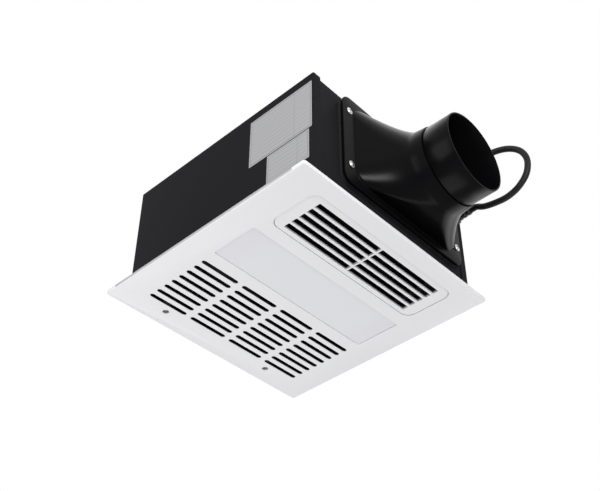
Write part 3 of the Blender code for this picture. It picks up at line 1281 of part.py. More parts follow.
def cable():
    """Supply cable: free stretch over the housing's edge, coil on its top, tie and bare leads."""
    coil = coil_points()
    start = Vector((CABLE_START_X, CABLE_Y, CABLE_Z))
    straight = start + Vector((2 * CABLE_RADIUS, 0, 0))
    end = coil[0] + Vector((GAP, 0, 0))
    before_end = end + Vector((2 * CABLE_RADIUS, 0, 0))
    route = smooth_route([start, straight, *CABLE_ROUTE, before_end, end], 3 * CABLE_RADIUS)
    tube("power_cable", route, CABLE_RADIUS, 3, RUBBER)
    tube("cable_coil", coil, CABLE_RADIUS, 1, RUBBER)
    print(f"coil: least gap to itself {least_gap(coil, CABLE_RADIUS) * 1000:.2f} mm")
    for name, line in (("free stretch", route), ("coil", coil)):
        length = sum((b - a).length for a, b in zip(line, line[1:]))
        print(f"{name}: {length:.3f} m")

    # Stripped end: the jacket stops and three insulated cores go on
    tip = coil[-1]
    jacket = lathe([(0, 0), (CABLE_RADIUS * 1.06, 0), (CABLE_RADIUS * 1.06, 0.0080),
                    (CABLE_RADIUS * 0.95, 0.0086), (0, 0.0086)], 16)
    back_x = Matrix.Rotation(-math.pi / 2, 4, "Y")
    origin = tip + Vector((-GAP, 0, 0))
    leads = place("cable_leads", moved(jacket, origin, back_x), RUBBER)
    for i in range(3):
        a = 2 * math.pi * i / 3 + math.pi / 6
        off = Vector((0, math.cos(a), math.sin(a))) * 0.0019
        reach = LEADS_LENGTH - 0.0040 * i
        core = lathe([(0, 0.0040), (0.0014, 0.0040), (0.0014, reach - 0.0080),
                      (0.0008, reach - 0.0076), (0.0008, reach), (0, reach)], 10)
        shape(leads, moved(core, origin + off, back_x), "UNION")


def cable_tie():
    """Band with a lock head round the bundle, where both layers of the coil run along X."""
    reach = CABLE_RADIUS + 2 * GAP
    near = COIL_CENTRE[1] - COIL_START + TURN_PITCH / 2
    u_range = (near - reach, near + TURN_PITCH + reach)
    v_range = (COIL_Z - reach, COIL_Z + TURN_PITCH + reach)
    ends = (COIL_CENTRE[0] - TIE_WIDTH / 2, COIL_CENTRE[0] + TIE_WIDTH / 2)
    band = rounded(inset(u_range, -TIE_THICK), inset(v_range, -TIE_THICK), 0.0030)
    tie = place("cable_tie", prism(band, *ends, "X"), NYLON)
    head = around(u_range[0] - TIE_THICK * 1.5, sum(v_range) / 2, TIE_THICK * 1.7, 0.0035)
    shape(tie, prism(rounded(*head, 0.0008, 2), ends[0] - 0.0010, ends[1] + 0.0010, "X"), "UNION")
    return shape(tie, prism(rounded(u_range, v_range, 0.0022), ends[0] - 0.002, ends[1] + 0.002,
                            "X"))


def build():
    """Make every piece."""
    clear_scene()
    grille_panel()
    panel_screws()
    screw_brackets()
    light()
    louvre_insert()
    housing_shell()
    top_cover()
    duct_panel()
    duct_adapter()
    adapter_gasket()
    adapter_screws()
    damper()
    blower_scroll()
    scroll_inlet()
    blower_wheel()
    blower_drive()
    heater_casing()
    heater_roller()
    heater_core()
    wiring()
    cable_gland()
    cable()
    cable_tie()


build()
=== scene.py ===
"""Looks of the ceiling heater, light and exhaust fan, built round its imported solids.

Everything is in metres in the frame of the solids: +Z is up, the origin is the centre of the white
panel on the ceiling plane, and +X runs along the duct.
"""

import json
import logging
import math
from collections.abc import Iterable, Sequence
from dataclasses import dataclass, field
from enum import Enum
from typing import Any, Protocol

import bmesh
import bpy
from mathutils import Matrix, Vector

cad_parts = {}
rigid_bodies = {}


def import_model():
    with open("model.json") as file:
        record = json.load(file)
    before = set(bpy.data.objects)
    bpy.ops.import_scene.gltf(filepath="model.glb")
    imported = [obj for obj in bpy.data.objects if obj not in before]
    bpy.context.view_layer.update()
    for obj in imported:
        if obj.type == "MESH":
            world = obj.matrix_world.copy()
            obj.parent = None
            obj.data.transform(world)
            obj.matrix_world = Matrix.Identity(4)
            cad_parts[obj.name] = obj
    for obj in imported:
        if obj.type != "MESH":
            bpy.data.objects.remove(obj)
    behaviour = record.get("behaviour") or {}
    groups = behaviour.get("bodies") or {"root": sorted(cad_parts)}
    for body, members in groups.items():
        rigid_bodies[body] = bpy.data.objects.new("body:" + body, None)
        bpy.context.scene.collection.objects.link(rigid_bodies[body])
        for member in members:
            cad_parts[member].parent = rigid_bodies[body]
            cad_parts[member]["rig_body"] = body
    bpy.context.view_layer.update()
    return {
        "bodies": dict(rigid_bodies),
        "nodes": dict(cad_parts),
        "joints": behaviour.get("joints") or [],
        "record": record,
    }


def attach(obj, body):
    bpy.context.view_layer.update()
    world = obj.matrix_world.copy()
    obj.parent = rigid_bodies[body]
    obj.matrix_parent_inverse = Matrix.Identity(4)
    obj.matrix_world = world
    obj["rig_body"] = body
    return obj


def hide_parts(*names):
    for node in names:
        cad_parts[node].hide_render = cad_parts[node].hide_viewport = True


LOG = logging.getLogger("ceiling_fan")

Point = tuple[float, float, float]
Flat = tuple[float, float]
Span = tuple[float, float]
Colour = tuple[float, float, float]

SHARP_ANGLE = 32.0      # degrees past which an edge stays sharp
FLAT_ANGLE = 0.6        # degrees under which two faces of a solid are one
MERGE_DISTANCE = 2e-6   # metres under which two corners of a solid are one


class Body(Enum):
    """The rigid bodies of the solids."""

    HOUSING = "housing"
    BLOWER = "blower_rotor"
    HEATER = "heater_rotor"
    DAMPER = "damper"


# --- Shader nodes ---------------------------------------------------------------------------


class Signal:
    """A socket's value, which can be used in Python expressions."""

    def __init__(self, paint: "Paint", socket: bpy.types.NodeSocket) -> None:
        """Wrap one output socket."""
        self.paint = paint
        self.socket = socket

    def _math(self, operation: str, *values: "Signal | float") -> "Signal":
        """Add one Math node.

        Args:
            operation: the node's operation.
            values: its inputs in order.

        Returns:
            The node's result.
        """
        return self.paint.node("ShaderNodeMath", {"operation": operation}, dict(enumerate(values)))

    def __add__(self, other: "Signal | float") -> "Signal":
        """Sum."""
        return self._math("ADD", self, other)

    __radd__ = __add__

    def __mul__(self, other: "Signal | float") -> "Signal":
        """Product."""
        return self._math("MULTIPLY", self, other)

    __rmul__ = __mul__

    def __sub__(self, other: "Signal | float") -> "Signal":
        """Difference."""
        return self._math("SUBTRACT", self, other)

    def __rsub__(self, other: "Signal | float") -> "Signal":
        """Difference, the other way round."""
        return self._math("SUBTRACT", other, self)

    def __truediv__(self, other: "Signal | float") -> "Signal":
        """Quotient."""
        return self._math("DIVIDE", self, other)

    def __pow__(self, other: "Signal | float") -> "Signal":
        """Power."""
        return self._math("POWER", self, other)

    def __abs__(self) -> "Signal":
        """Size without its sign."""
        return self._math("ABSOLUTE", self)

    def __mod__(self, other: "Signal | float") -> "Signal":
        """Remainder that stays positive."""
        return self._math("FLOORED_MODULO", self, other)

    def larger(self, other: "Signal | float") -> "Signal":
        """The larger of two values."""
        return self._math("MAXIMUM", self, other)

    def smaller(self, other: "Signal | float") -> "Signal":
        """The smaller of two values."""
        return self._math("MINIMUM", self, other)

    def clamped(self) -> "Signal":
        """The value held between 0 and 1."""
        return self.paint.node("ShaderNodeClamp", {}, {"Value": self})


class Paint:
    """Builds one material's nodes."""

    def __init__(self, name: str) -> None:
        """Start a material with an empty tree.

        Args:
            name: the material's name.
        """
        self.material = bpy.data.materials.new(name)
        self.material.use_nodes = True
        self.tree = self.material.node_tree
        self.tree.nodes.clear()

    def node(self, kind: str, settings: dict[str, Any], values: dict[Any, Any],
             output: int | str = 0) -> Signal:
        """Add a node, set it up and connect it.

        Args:
            kind: the node's type.
            settings: its properties.
            values: what goes to its inputs, by name or number.
            output: the output that is wanted.

        Returns:
            That output.
        """
        made = self.tree.nodes.new(kind)
        for key, value in settings.items():
            setattr(made, key, value)
        for key, value in values.items():
            socket = made.inputs[key]
            if isinstance(value, Signal):
                self.tree.links.new(value.socket, socket)
            elif isinstance(value, tuple) and len(value) == 3 and socket.type == "RGBA":
                socket.default_value = (*value, 1.0)
            else:
                socket.default_value = value
        return Signal(self, made.outputs[output])

    def place(self) -> Signal:
        """Object coordinates, in metres."""
        return self.node("ShaderNodeTexCoord", {}, {}, "Object")

    def stretched(self, scale: Point) -> Signal:
        """Object coordinates stretched by a factor along each axis."""
        return self.node("ShaderNodeMapping", {}, {"Vector": self.place(), "Scale": scale})

    def noise(self, scale: float, detail: float = 2.0, rough: float = 0.5,
              where: Signal | None = None) -> Signal:
        """Noise between 0 and 1.

        Args:
            scale: features per metre.
            detail: octaves.
            rough: strength of the fine octaves.
            where: coordinates, or None for the object's own.

        Returns:
            The noise value.
        """
        values = {"Vector": where or self.place(), "Scale": scale, "Detail": detail,
                  "Roughness": rough}
        return self.node("ShaderNodeTexNoise", {}, values, "Fac")

    def cells(self, scale: float) -> Signal:
        """Distance to the nearest cell centre, with so many cells per metre."""
        values = {"Vector": self.place(), "Scale": scale}
        return self.node("ShaderNodeTexVoronoi", {}, values, "Distance")

    def axis(self, name: str) -> Signal:
        """The object coordinate X, Y or Z, in metres."""
        return self.node("ShaderNodeSeparateXYZ", {}, {"Vector": self.place()}, name)

    def between(self, value: Signal, low: float, high: float) -> Signal:
        """A value spread from 0 at low to 1 at high, and held there.

        Args:
            value: what is spread.
            low: where it becomes 0.
            high: where it becomes 1.

        Returns:
            The spread value.
        """
        values = {"Value": value, "From Min": low, "From Max": high}
        return self.node("ShaderNodeMapRange", {"clamp": True}, values)

    def blend(self, factor: Signal, first: Colour | Signal, second: Colour | Signal) -> Signal:
        """Two colours mixed.

        Args:
            factor: 0 for the first, 1 for the second.
            first: one colour.
            second: the other.

        Returns:
            The mixed colour.
        """
        made = self.tree.nodes.new("ShaderNodeMix")
        made.data_type = "RGBA"
        self.tree.links.new(factor.socket, made.inputs[0])
        for number, tone in ((6, first), (7, second)):
            if isinstance(tone, Signal):
                self.tree.links.new(tone.socket, made.inputs[number])
            else:
                made.inputs[number].default_value = (*tone, 1.0)
        return Signal(self, made.outputs[2])

    def mottled(self, mask: Signal, colour: Colour, shares: Flat) -> Signal:
        """A colour that varies between two shares of itself.

        Args:
            mask: 0 for the first share, 1 for the second.
            colour: the colour.
            shares: the two shares.

        Returns:
            The varied colour.
        """
        return self.blend(mask, scaled(colour, shares[0]), scaled(colour, shares[1]))

    def relief(self, height: Signal, depth: float) -> Signal:
        """A normal bent by a height between 0 and 1, where 1 is depth in metres."""
        values = {"Height": height, "Distance": depth, "Strength": 1.0}
        return self.node("ShaderNodeBump", {}, values)

    def surface(self, **values: Any) -> bpy.types.Material:
        """Finish the material with a Principled shader.

        Args:
            values: its inputs, with underscores for the spaces in their names.

        Returns:
            The material.
        """
        named = {key.replace("_", " "): value for key, value in values.items()}
        shader = self.node("ShaderNodeBsdfPrincipled", {}, named)
        leave = self.tree.nodes.new("ShaderNodeOutputMaterial")
        self.tree.links.new(shader.socket, leave.inputs["Surface"])
        return self.material


def scaled(colour: Colour, factor: float) -> Colour:
    """A colour made lighter or darker."""
    return tuple(min(channel * factor, 1.0) for channel in colour)


# --- Finishes -------------------------------------------------------------------------------


class Finish(Protocol):
    """What every finish can do."""

    def material(self, name: str) -> bpy.types.Material:
        """Make the material under a name."""


@dataclass(frozen=True)
class BakedPaint:
    """Satin black paint on sheet steel, with a fine orange peel."""

    colour: Colour = (0.0134, 0.0134, 0.0150)
    roughness: float = 0.44
    peel: float = 700.0
    peel_depth: float = 0.000018
    gloss: float = 0.008
    shares: Flat = (0.90, 1.12)
    dust: float = 0.25
    dust_tone: float = 2.2

    def material(self, name: str) -> bpy.types.Material:
        """Make the material.

        Args:
            name: its name.

        Returns:
            The material.
        """
        paint = Paint(name)
        cloud = paint.noise(9.0, 3.0)
        peel = paint.noise(self.peel, 2.0)
        dust = paint.between(paint.noise(2400.0, 1.0), 0.70, 0.82)
        tone = paint.mottled(cloud, self.colour, self.shares)
        tone = paint.blend(dust * self.dust, tone, scaled(self.colour, self.dust_tone))
        return paint.surface(Base_Color=tone, Roughness=cloud * 0.10 + peel * 0.06
                             + (self.roughness - 0.08), Specular_IOR_Level=self.gloss,
                             Normal=paint.relief(peel, self.peel_depth))


@dataclass(frozen=True)
class WhiteMoulding:
    """White ABS with a fine spark-eroded grain.

    Where the shade share is above 0, painted shade darkens the walls of the openings from the face
    inwards. That holds inside the rim, and by a share of its own for the screw wells, which lie
    beyond the rim along X.
    """

    colour: Colour = (0.722, 0.722, 0.742)
    roughness: float = 0.46
    grain: float = 1600.0
    grain_depth: float = 0.000006
    gloss: float = 0.40
    shares: Flat = (0.985, 1.010)
    # painted shade: how strongly the opening walls are darkened in place of the shade inside them
    painted_shade: float = 0.0
    painted_shade_tone: float = 0.02
    face: float = -0.0040
    fade: Span = (0.0002, 0.0009)
    rim: Flat = (0.1285, 0.1380)
    well_shade: float = 0.45
    well_reach: float = 0.1420

    def material(self, name: str) -> bpy.types.Material:
        """Make the material.

        Args:
            name: its name.

        Returns:
            The material.
        """
        paint = Paint(name)
        cloud = paint.noise(7.0, 2.0)
        grain = paint.noise(self.grain, 1.0)
        tone = paint.mottled(cloud, self.colour, self.shares)
        # Painted shade on the opening walls, darker from the face inwards, standing in for the
        # shade inside the openings.
        if self.painted_shade:
            near, far = (self.face + depth for depth in self.fade)
            depth = paint.between(paint.axis("Z"), near, far)
            wide = abs(paint.axis("X"))
            rim = (wide / self.rim[0]).larger(abs(paint.axis("Y")) / self.rim[1])
            inside = 1.0 - paint.between(rim, 1.0, 1.01)
            wells = 1.0 - paint.between(wide, self.well_reach, self.well_reach + 0.001)
            share = inside.larger(wells * self.well_shade) * depth * self.painted_shade
            tone = paint.blend(share, tone, scaled(self.colour, self.painted_shade_tone))
        return paint.surface(Base_Color=tone, Roughness=grain * 0.08 + (self.roughness - 0.04),
                             Specular_IOR_Level=self.gloss,
                             Normal=paint.relief(grain, self.grain_depth))


@dataclass(frozen=True)
class BlackMoulding:
    """Black polypropylene with a soft gloss and faint flow marks."""

    colour: Colour = (0.0027, 0.0027, 0.0032)
    roughness: float = 0.25
    grain: float = 900.0
    grain_depth: float = 0.000010
    gloss: float = 0.054
    shares: Flat = (0.85, 1.20)
    stretch: Point = (1.0, 2.2, 2.2)

    def material(self, name: str) -> bpy.types.Material:
        """Make the material.

        Args:
            name: its name.

        Returns:
            The material.
        """
        paint = Paint(name)
        flow = paint.noise(14.0, 4.0, 0.6, paint.stretched(self.stretch))
        grain = paint.noise(self.grain, 2.0)
        tone = paint.mottled(flow, self.colour, self.shares)
        return paint.surface(Base_Color=tone, Roughness=flow * 0.08 + grain * 0.05
                             + (self.roughness - 0.06), Specular_IOR_Level=self.gloss,
                             Normal=paint.relief(grain, self.grain_depth))


@dataclass(frozen=True)
class FrostedSheet:
    """Opal sheet that spreads the light, a little greyer than the panel.

    Its colour passes into a darker one towards both ends as painted shade, between two squares of
    the distance along Y.
    """

    colour: Colour = (0.680, 0.683, 0.704)
    roughness: float = 0.52
    end_shade_colour: Colour = (0.660, 0.655, 0.696)
    end_squares: Span = (0.0070, 0.0158)
    frost: float = 2600.0
    frost_depth: float = 0.000005
    gloss: float = 0.35

    def material(self, name: str) -> bpy.types.Material:
        """Make the material.

        Args:
            name: its name.

        Returns:
            The material.
        """
        paint = Paint(name)
        frost = paint.noise(self.frost, 1.0)
        # Painted shade: the lens darkens towards both ends.
        ends = paint.between(paint.axis("Y") ** 2.0, *self.end_squares)
        tone = paint.blend(ends, self.colour, self.end_shade_colour)
        return paint.surface(Base_Color=tone, Roughness=frost * 0.10 + (self.roughness - 0.05),
                             Specular_IOR_Level=self.gloss,
                             Normal=paint.relief(frost, self.frost_depth))


@dataclass(frozen=True)
class ZincSheet:
    """Galvanised sheet with faint spangle."""

    colour: Colour = (0.46, 0.47, 0.48)
    roughness: float = 0.40
    spangle: float = 110.0
    shares: Flat = (0.80, 1.12)
    stretch: Point = (1.0, 9.0, 9.0)
    scratch_depth: float = 0.000006
    metal: float = 0.9

    def material(self, name: str) -> bpy.types.Material:
        """Make the material.

        Args:
            name: its name.

        Returns:
            The material.
        """
        paint = Paint(name)
        flake = paint.cells(self.spangle)
        scratch = paint.noise(300.0, 3.0, 0.6, paint.stretched(self.stretch))
        tone = paint.mottled(flake.clamped(), self.colour, self.shares)
        return paint.surface(Base_Color=tone, Metallic=self.metal, Roughness=flake * 0.12
                             + scratch * 0.14 + (self.roughness - 0.12),
                             Normal=paint.relief(scratch, self.scratch_depth))


@dataclass(frozen=True)
class TurnedMetal:
    """Plated or turned metal, with fine marks and a faint stain."""

    colour: Colour = (0.62, 0.62, 0.60)
    roughness: float = 0.30
    marks: float = 1200.0
    mark_depth: float = 0.000004
    shares: Flat = (0.86, 1.08)

    def material(self, name: str) -> bpy.types.Material:
        """Make the material.

        Args:
            name: its name.

        Returns:
            The material.
        """
        paint = Paint(name)
        mark = paint.noise(self.marks, 2.0)
        stain = paint.noise(60.0, 3.0)
        tone = paint.mottled(stain, self.colour, self.shares)
        return paint.surface(Base_Color=tone, Metallic=1.0, Roughness=mark * 0.12 + stain * 0.08
                             + (self.roughness - 0.10),
                             Normal=paint.relief(mark, self.mark_depth))


@dataclass(frozen=True)
class SoftBlack:
    """Rubber or foam, matt and slightly uneven."""

    colour: Colour = (0.020, 0.020, 0.020)
    roughness: float = 0.72
    pores: float = 900.0
    pore_depth: float = 0.000040
    gloss: float = 0.35
    shares: Flat = (0.75, 1.35)

    def material(self, name: str) -> bpy.types.Material:
        """Make the material.

        Args:
            name: its name.

        Returns:
            The material.
        """
        paint = Paint(name)
        pore = paint.cells(self.pores)
        cloud = paint.noise(40.0, 3.0)
        tone = paint.mottled(cloud, self.colour, self.shares)
        return paint.surface(Base_Color=tone, Roughness=cloud * 0.12 + (self.roughness - 0.06),
                             Specular_IOR_Level=self.gloss,
                             Normal=paint.relief(pore, self.pore_depth))


@dataclass(frozen=True)
class JacketRubber:
    """Extruded cable jacket with a fine grain and paler scuffs."""

    colour: Colour = (0.0080, 0.0080, 0.0084)
    roughness: float = 0.50
    scuff_range: Span = (0.42, 0.70)
    scuff_tone: float = 2.0
    grain: float = 1800.0
    grain_depth: float = 0.000014
    gloss: float = 0.18

    def material(self, name: str) -> bpy.types.Material:
        """Make the material.

        Args:
            name: its name.

        Returns:
            The material.
        """
        paint = Paint(name)
        scuff = paint.noise(160.0, 4.0, 0.65)
        grain = paint.noise(self.grain, 1.0)
        worn = paint.between(scuff, *self.scuff_range)
        tone = paint.mottled(worn, self.colour, (1.0, self.scuff_tone))
        return paint.surface(Base_Color=tone, Roughness=scuff * 0.22 + (self.roughness - 0.10),
                             Specular_IOR_Level=self.gloss,
                             Normal=paint.relief(grain, self.grain_depth))


@dataclass(frozen=True)
class PlainMoulding:
    """Nylon, ceramic or board material with a slight mottle."""

    colour: Colour = (0.55, 0.54, 0.50)
    roughness: float = 0.50
    mottle: float = 240.0
    mottle_depth: float = 0.000012
    shares: Flat = (0.88, 1.10)

    def material(self, name: str) -> bpy.types.Material:
        """Make the material.

        Args:
            name: its name.

        Returns:
            The material.
        """
        paint = Paint(name)
        spot = paint.noise(self.mottle, 3.0)
        tone = paint.mottled(spot, self.colour, self.shares)
        return paint.surface(Base_Color=tone, Roughness=spot * 0.14 + (self.roughness - 0.07),
                             Normal=paint.relief(spot, self.mottle_depth))


@dataclass(frozen=True)
class LabelPaper:
    """Pale polyester label: a blank ruled form in a thin frame."""

    middle: Flat = (0.0, 0.0)
    half: Flat = (0.04, 0.03)
    colour: Colour = (0.340, 0.340, 0.354)
    line: float = 0.00045
    margin: float = 0.0022
    row_pitch: float = 0.0062
    divider: float = 0.45
    ink: Colour = (0.10, 0.10, 0.105)
    frame_ink: float = 0.60
    rule_ink: float = 0.38
    roughness: float = 0.34
    fibre: float = 380.0
    fibre_depth: float = 0.000010
    gloss: float = 0.30
    shares: Flat = (0.95, 1.06)

    def material(self, name: str) -> bpy.types.Material:
        """Make the material.

        Args:
            name: its name.

        Returns:
            The material.
        """
        paint = Paint(name)
        across = abs(paint.axis("X") - self.middle[0]) - (self.half[0] - self.margin)
        upright = abs(paint.axis("Z") - self.middle[1]) - (self.half[1] - self.margin)
        border = abs(across.larger(upright))
        row = abs((paint.axis("Z") - self.middle[1]) % self.row_pitch - self.row_pitch / 2)
        column = abs(paint.axis("X") - self.middle[0] - self.half[0] * self.divider)
        rules = row.smaller(column).larger(across.larger(upright))
        frame = 1.0 - paint.between(border, self.line * 0.5, self.line * 1.4)
        ruling = 1.0 - paint.between(rules, self.line * 0.3, self.line * 1.2)
        fibre = paint.noise(self.fibre, 3.0)
        paper = paint.mottled(fibre, self.colour, self.shares)
        inked = (frame * self.frame_ink).larger(ruling * self.rule_ink)
        return paint.surface(Base_Color=paint.blend(inked, paper, self.ink),
                             Roughness=fibre * 0.10 + self.roughness,
                             Specular_IOR_Level=self.gloss,
                             Normal=paint.relief(fibre, self.fibre_depth))


WHITE = WhiteMoulding()
# These two whites carry painted shade on the walls of their openings.
WHITE_WITH_PAINTED_SHADE = WhiteMoulding(painted_shade=1.0)
LOUVRE_WHITE_WITH_PAINTED_SHADE = WhiteMoulding(painted_shade=0.85, face=-0.0034, fade=(0.0004, 0.0070),
                             rim=(0.1390, 0.1190), well_shade=0.0)
FROST = FrostedSheet()
BLACK_PAINT = BakedPaint()
BLACK_PLASTIC = BlackMoulding()
DARK_SHEET = ZincSheet(colour=(0.060, 0.060, 0.062), roughness=0.55)
ZINC = ZincSheet()
STEEL = TurnedMetal(colour=(0.45, 0.45, 0.46), roughness=0.32)
SCREW_ZINC = TurnedMetal(colour=(0.72, 0.72, 0.71), roughness=0.30)
CHROME = TurnedMetal(colour=(0.80, 0.80, 0.82), roughness=0.16, marks=2400.0)
DARK_FINS = TurnedMetal(colour=(0.050, 0.050, 0.052), roughness=0.50, marks=500.0)
MOTOR_GREY = BakedPaint(colour=(0.075, 0.075, 0.080), roughness=0.36, peel=500.0)
FOAM = SoftBlack()
RUBBER = SoftBlack(colour=(0.016, 0.016, 0.016), roughness=0.66, pores=1400.0,
                   pore_depth=0.000012)
JACKET = JacketRubber()
NYLON = PlainMoulding()
BLACK_NYLON = PlainMoulding(colour=(0.014, 0.014, 0.015), roughness=0.42, mottle=500.0)
CERAMIC = PlainMoulding(colour=(0.050, 0.047, 0.043), roughness=0.72, mottle=500.0)
BOARD = PlainMoulding(colour=(0.70, 0.71, 0.68), roughness=0.45, mottle=90.0)


class Palette:
    """Keeps one material for each finish, so that pieces of one finish share it."""

    made: dict[tuple[str, Finish], bpy.types.Material] = {}

    @classmethod
    def get(cls, name: str, finish: Finish) -> bpy.types.Material:
        """The material of a finish.

        Args:
            name: the material's name.
            finish: one of the finish classes.

        Returns:
            The material, made at its first use.
        """
        key = (name, finish)
        if key not in cls.made:
            cls.made[key] = finish.material(name)
        return cls.made[key]


# --- Meshes ---------------------------------------------------------------------------------


def linked(name: str, data: bpy.types.ID) -> bpy.types.Object:
    """Put a mesh, curve, lamp or camera into the scene, at the origin.

    Args:
        name: the object's name.
        data: what it shows.

    Returns:
        The object.
    """
    made = bpy.data.objects.new(name, data)
    bpy.context.scene.collection.objects.link(made)
    return made


def arc(centre: Flat, radius: float, start: float, end: float, steps: int) -> list[Flat]:
    """Points along an arc, both ends included.

    Args:
        centre: the arc's centre.
        radius: its radius.
        start: the first point's angle in radians.
        end: the last point's angle.
        steps: how many points follow the first.

    Returns:
        The points.
    """
    turns = [start + (end - start) * i / steps for i in range(steps + 1)]
    return [(centre[0] + radius * math.cos(a), centre[1] + radius * math.sin(a)) for a in turns]


def rounded(u_range: Span, v_range: Span, radius: float, steps: int) -> list[Flat]:
    """A rectangle with round corners.

    Args:
        u_range: its reach along the first axis.
        v_range: its reach along the second axis.
        radius: the corners' radius.
        steps: how many points follow the first at each corner.

    Returns:
        The outline's points, with the same number at each corner.
    """
    (u0, u1), (v0, v1) = u_range, v_range
    centres = ((u1 - radius, v1 - radius), (u0 + radius, v1 - radius),
               (u0 + radius, v0 + radius), (u1 - radius, v0 + radius))
    points: list[Flat] = []
    for quarter, centre in enumerate(centres):
        start = quarter * math.pi / 2
        points += arc(centre, radius, start, start + math.pi / 2, steps)
    return points


def inset(span: Span, by: float) -> Span:
    """A range drawn in at both ends."""
    return span[0] + by, span[1] - by


def skin(rings: Sequence[Sequence[Point]], loop: bool = False) -> bmesh.types.BMesh:
    """A closed solid through rings of points.

    Args:
        rings: rings with equal numbers of points; a ring of one point is a pole.
        loop: whether the last ring joins the first, instead of both being capped.

    Returns:
        The mesh, facing outwards.
    """
    mesh = bmesh.new()
    made = [[mesh.verts.new(point) for point in ring] for ring in rings]
    pairs = list(zip(made, made[1:])) + ([(made[-1], made[0])] if loop else [])
    for lower, upper in pairs:
        count = max(len(lower), len(upper))
        for i in range(count):
            j = (i + 1) % count
            corners = [lower[i % len(lower)], lower[j % len(lower)]]
            corners += [upper[j % len(upper)], upper[i % len(upper)]]
            unique = list(dict.fromkeys(corners))
            if len(unique) > 2:
                mesh.faces.new(unique)
    if not loop:
        for ring in (made[0], made[-1]):
            if len(ring) > 2:
                mesh.faces.new(ring)
    bmesh.ops.recalc_face_normals(mesh, faces=mesh.faces)
    return mesh


def shown(name: str, mesh: bmesh.types.BMesh, material: bpy.types.Material,
          sharp: float = SHARP_ANGLE) -> bpy.types.Object:
    """Make an object at the origin from a mesh.

    Args:
        name: the piece's name.
        mesh: its shape, which is used up.
        material: its material.
        sharp: the angle in degrees past which an edge stays sharp.

    Returns:
        The object.
    """
    data = bpy.data.meshes.new(name)
    mesh.to_mesh(data)
    mesh.free()
    data.materials.append(material)
    data.shade_smooth()
    data.set_sharp_from_angle(angle=math.radians(sharp))
    return linked(name, data)


def settled(made: bpy.types.Object) -> bpy.types.Object:
    """Turn an object with modifiers into a plain mesh of the same name.

    Args:
        made: the object, which is used up.

    Returns:
        The plain object.
    """
    bpy.context.view_layer.update()
    graph = bpy.context.evaluated_depsgraph_get()
    data = bpy.data.meshes.new_from_object(made.evaluated_get(graph), depsgraph=graph)
    name = made.name
    bpy.data.objects.remove(made, do_unlink=True)
    data.name = name
    return linked(name, data)


# --- Geometry Nodes -------------------------------------------------------------------------


class Recipe:
    """Builds one Geometry Nodes tree with named inputs."""

    def __init__(self, name: str, inputs: dict[str, float | int]) -> None:
        """Start a tree.

        Args:
            name: the tree's name.
            inputs: its named numbers and their defaults.
        """
        self.tree = bpy.data.node_groups.new(name, "GeometryNodeTree")
        face = self.tree.interface
        face.new_socket("Geometry", in_out="INPUT", socket_type="NodeSocketGeometry")
        for label, value in inputs.items():
            kind = "NodeSocketInt" if isinstance(value, int) else "NodeSocketFloat"
            face.new_socket(label, in_out="INPUT", socket_type=kind).default_value = value
        face.new_socket("Geometry", in_out="OUTPUT", socket_type="NodeSocketGeometry")
        self.entry = self.tree.nodes.new("NodeGroupInput")

    def given(self, label: str) -> bpy.types.NodeSocket:
        """One of the tree's inputs."""
        return self.entry.outputs[label]

    def node(self, kind: str, settings: dict[str, Any], values: dict[Any, Any],
             output: int | str = 0) -> bpy.types.NodeSocket:
        """Add a node, set it up and connect it.

        Args:
            kind: the node's type.
            settings: its properties.
            values: what goes to its inputs; a list links several things to one input.
            output: the output that is wanted.

        Returns:
            That output.
        """
        made = self.tree.nodes.new(kind)
        for key, value in settings.items():
            setattr(made, key, value)
        for key, value in values.items():
            for item in value if isinstance(value, list) else [value]:
                if isinstance(item, bpy.types.NodeSocket):
                    self.tree.links.new(item, made.inputs[key])
                else:
                    made.inputs[key].default_value = item
        return made.outputs[output]

    def maths(self, operation: str, first: Any, second: Any) -> bpy.types.NodeSocket:
        """One Math node."""
        return self.node("ShaderNodeMath", {"operation": operation}, {0: first, 1: second})

    def vector(self, x: Any, y: Any, z: Any) -> bpy.types.NodeSocket:
        """Three numbers as a vector."""
        return self.node("ShaderNodeCombineXYZ", {}, {"X": x, "Y": y, "Z": z})

    def moved(self, shape: bpy.types.NodeSocket, x: Any, y: Any,
              z: Any) -> bpy.types.NodeSocket:
        """A shape moved by three numbers."""
        return self.node("GeometryNodeTransform", {},
                         {"Geometry": shape, "Translation": self.vector(x, y, z)})

    def end(self, shape: bpy.types.NodeSocket, material: bpy.types.Material) -> None:
        """Realize, smooth and paint the result.

        Args:
            shape: the geometry.
            material: its material.
        """
        real = self.node("GeometryNodeRealizeInstances", {}, {"Geometry": shape})
        soft = self.node("GeometryNodeSetShadeSmooth", {},
                         {"Geometry": real, "Shade Smooth": True})
        painted = self.node("GeometryNodeSetMaterial", {},
                            {"Geometry": soft, "Material": material})
        leave = self.tree.nodes.new("NodeGroupOutput")
        self.tree.links.new(painted, leave.inputs["Geometry"])

    def grow(self, name: str, points: Iterable[Point],
             sizes: dict[str, float | int]) -> bpy.types.Object:
        """Run the tree on some points and keep the plain mesh.

        Args:
            name: the piece's name.
            points: the points that the tree starts from.
            sizes: values for the tree's named inputs.

        Returns:
            The plain piece.
        """
        data = bpy.data.meshes.new(name)
        data.from_pydata([tuple(point) for point in points], [], [])
        seed = linked(name, data)
        step = seed.modifiers.new("grow", "NODES")
        step.node_group = self.tree
        for item in self.tree.interface.items_tree:
            if getattr(item, "in_out", "") == "INPUT" and item.name in sizes:
                step[item.identifier] = sizes[item.name]
        plain = settled(seed)
        plain.data.set_sharp_from_angle(angle=math.radians(SHARP_ANGLE))
        return plain


# --- Dressing the solids --------------------------------------------------------------------


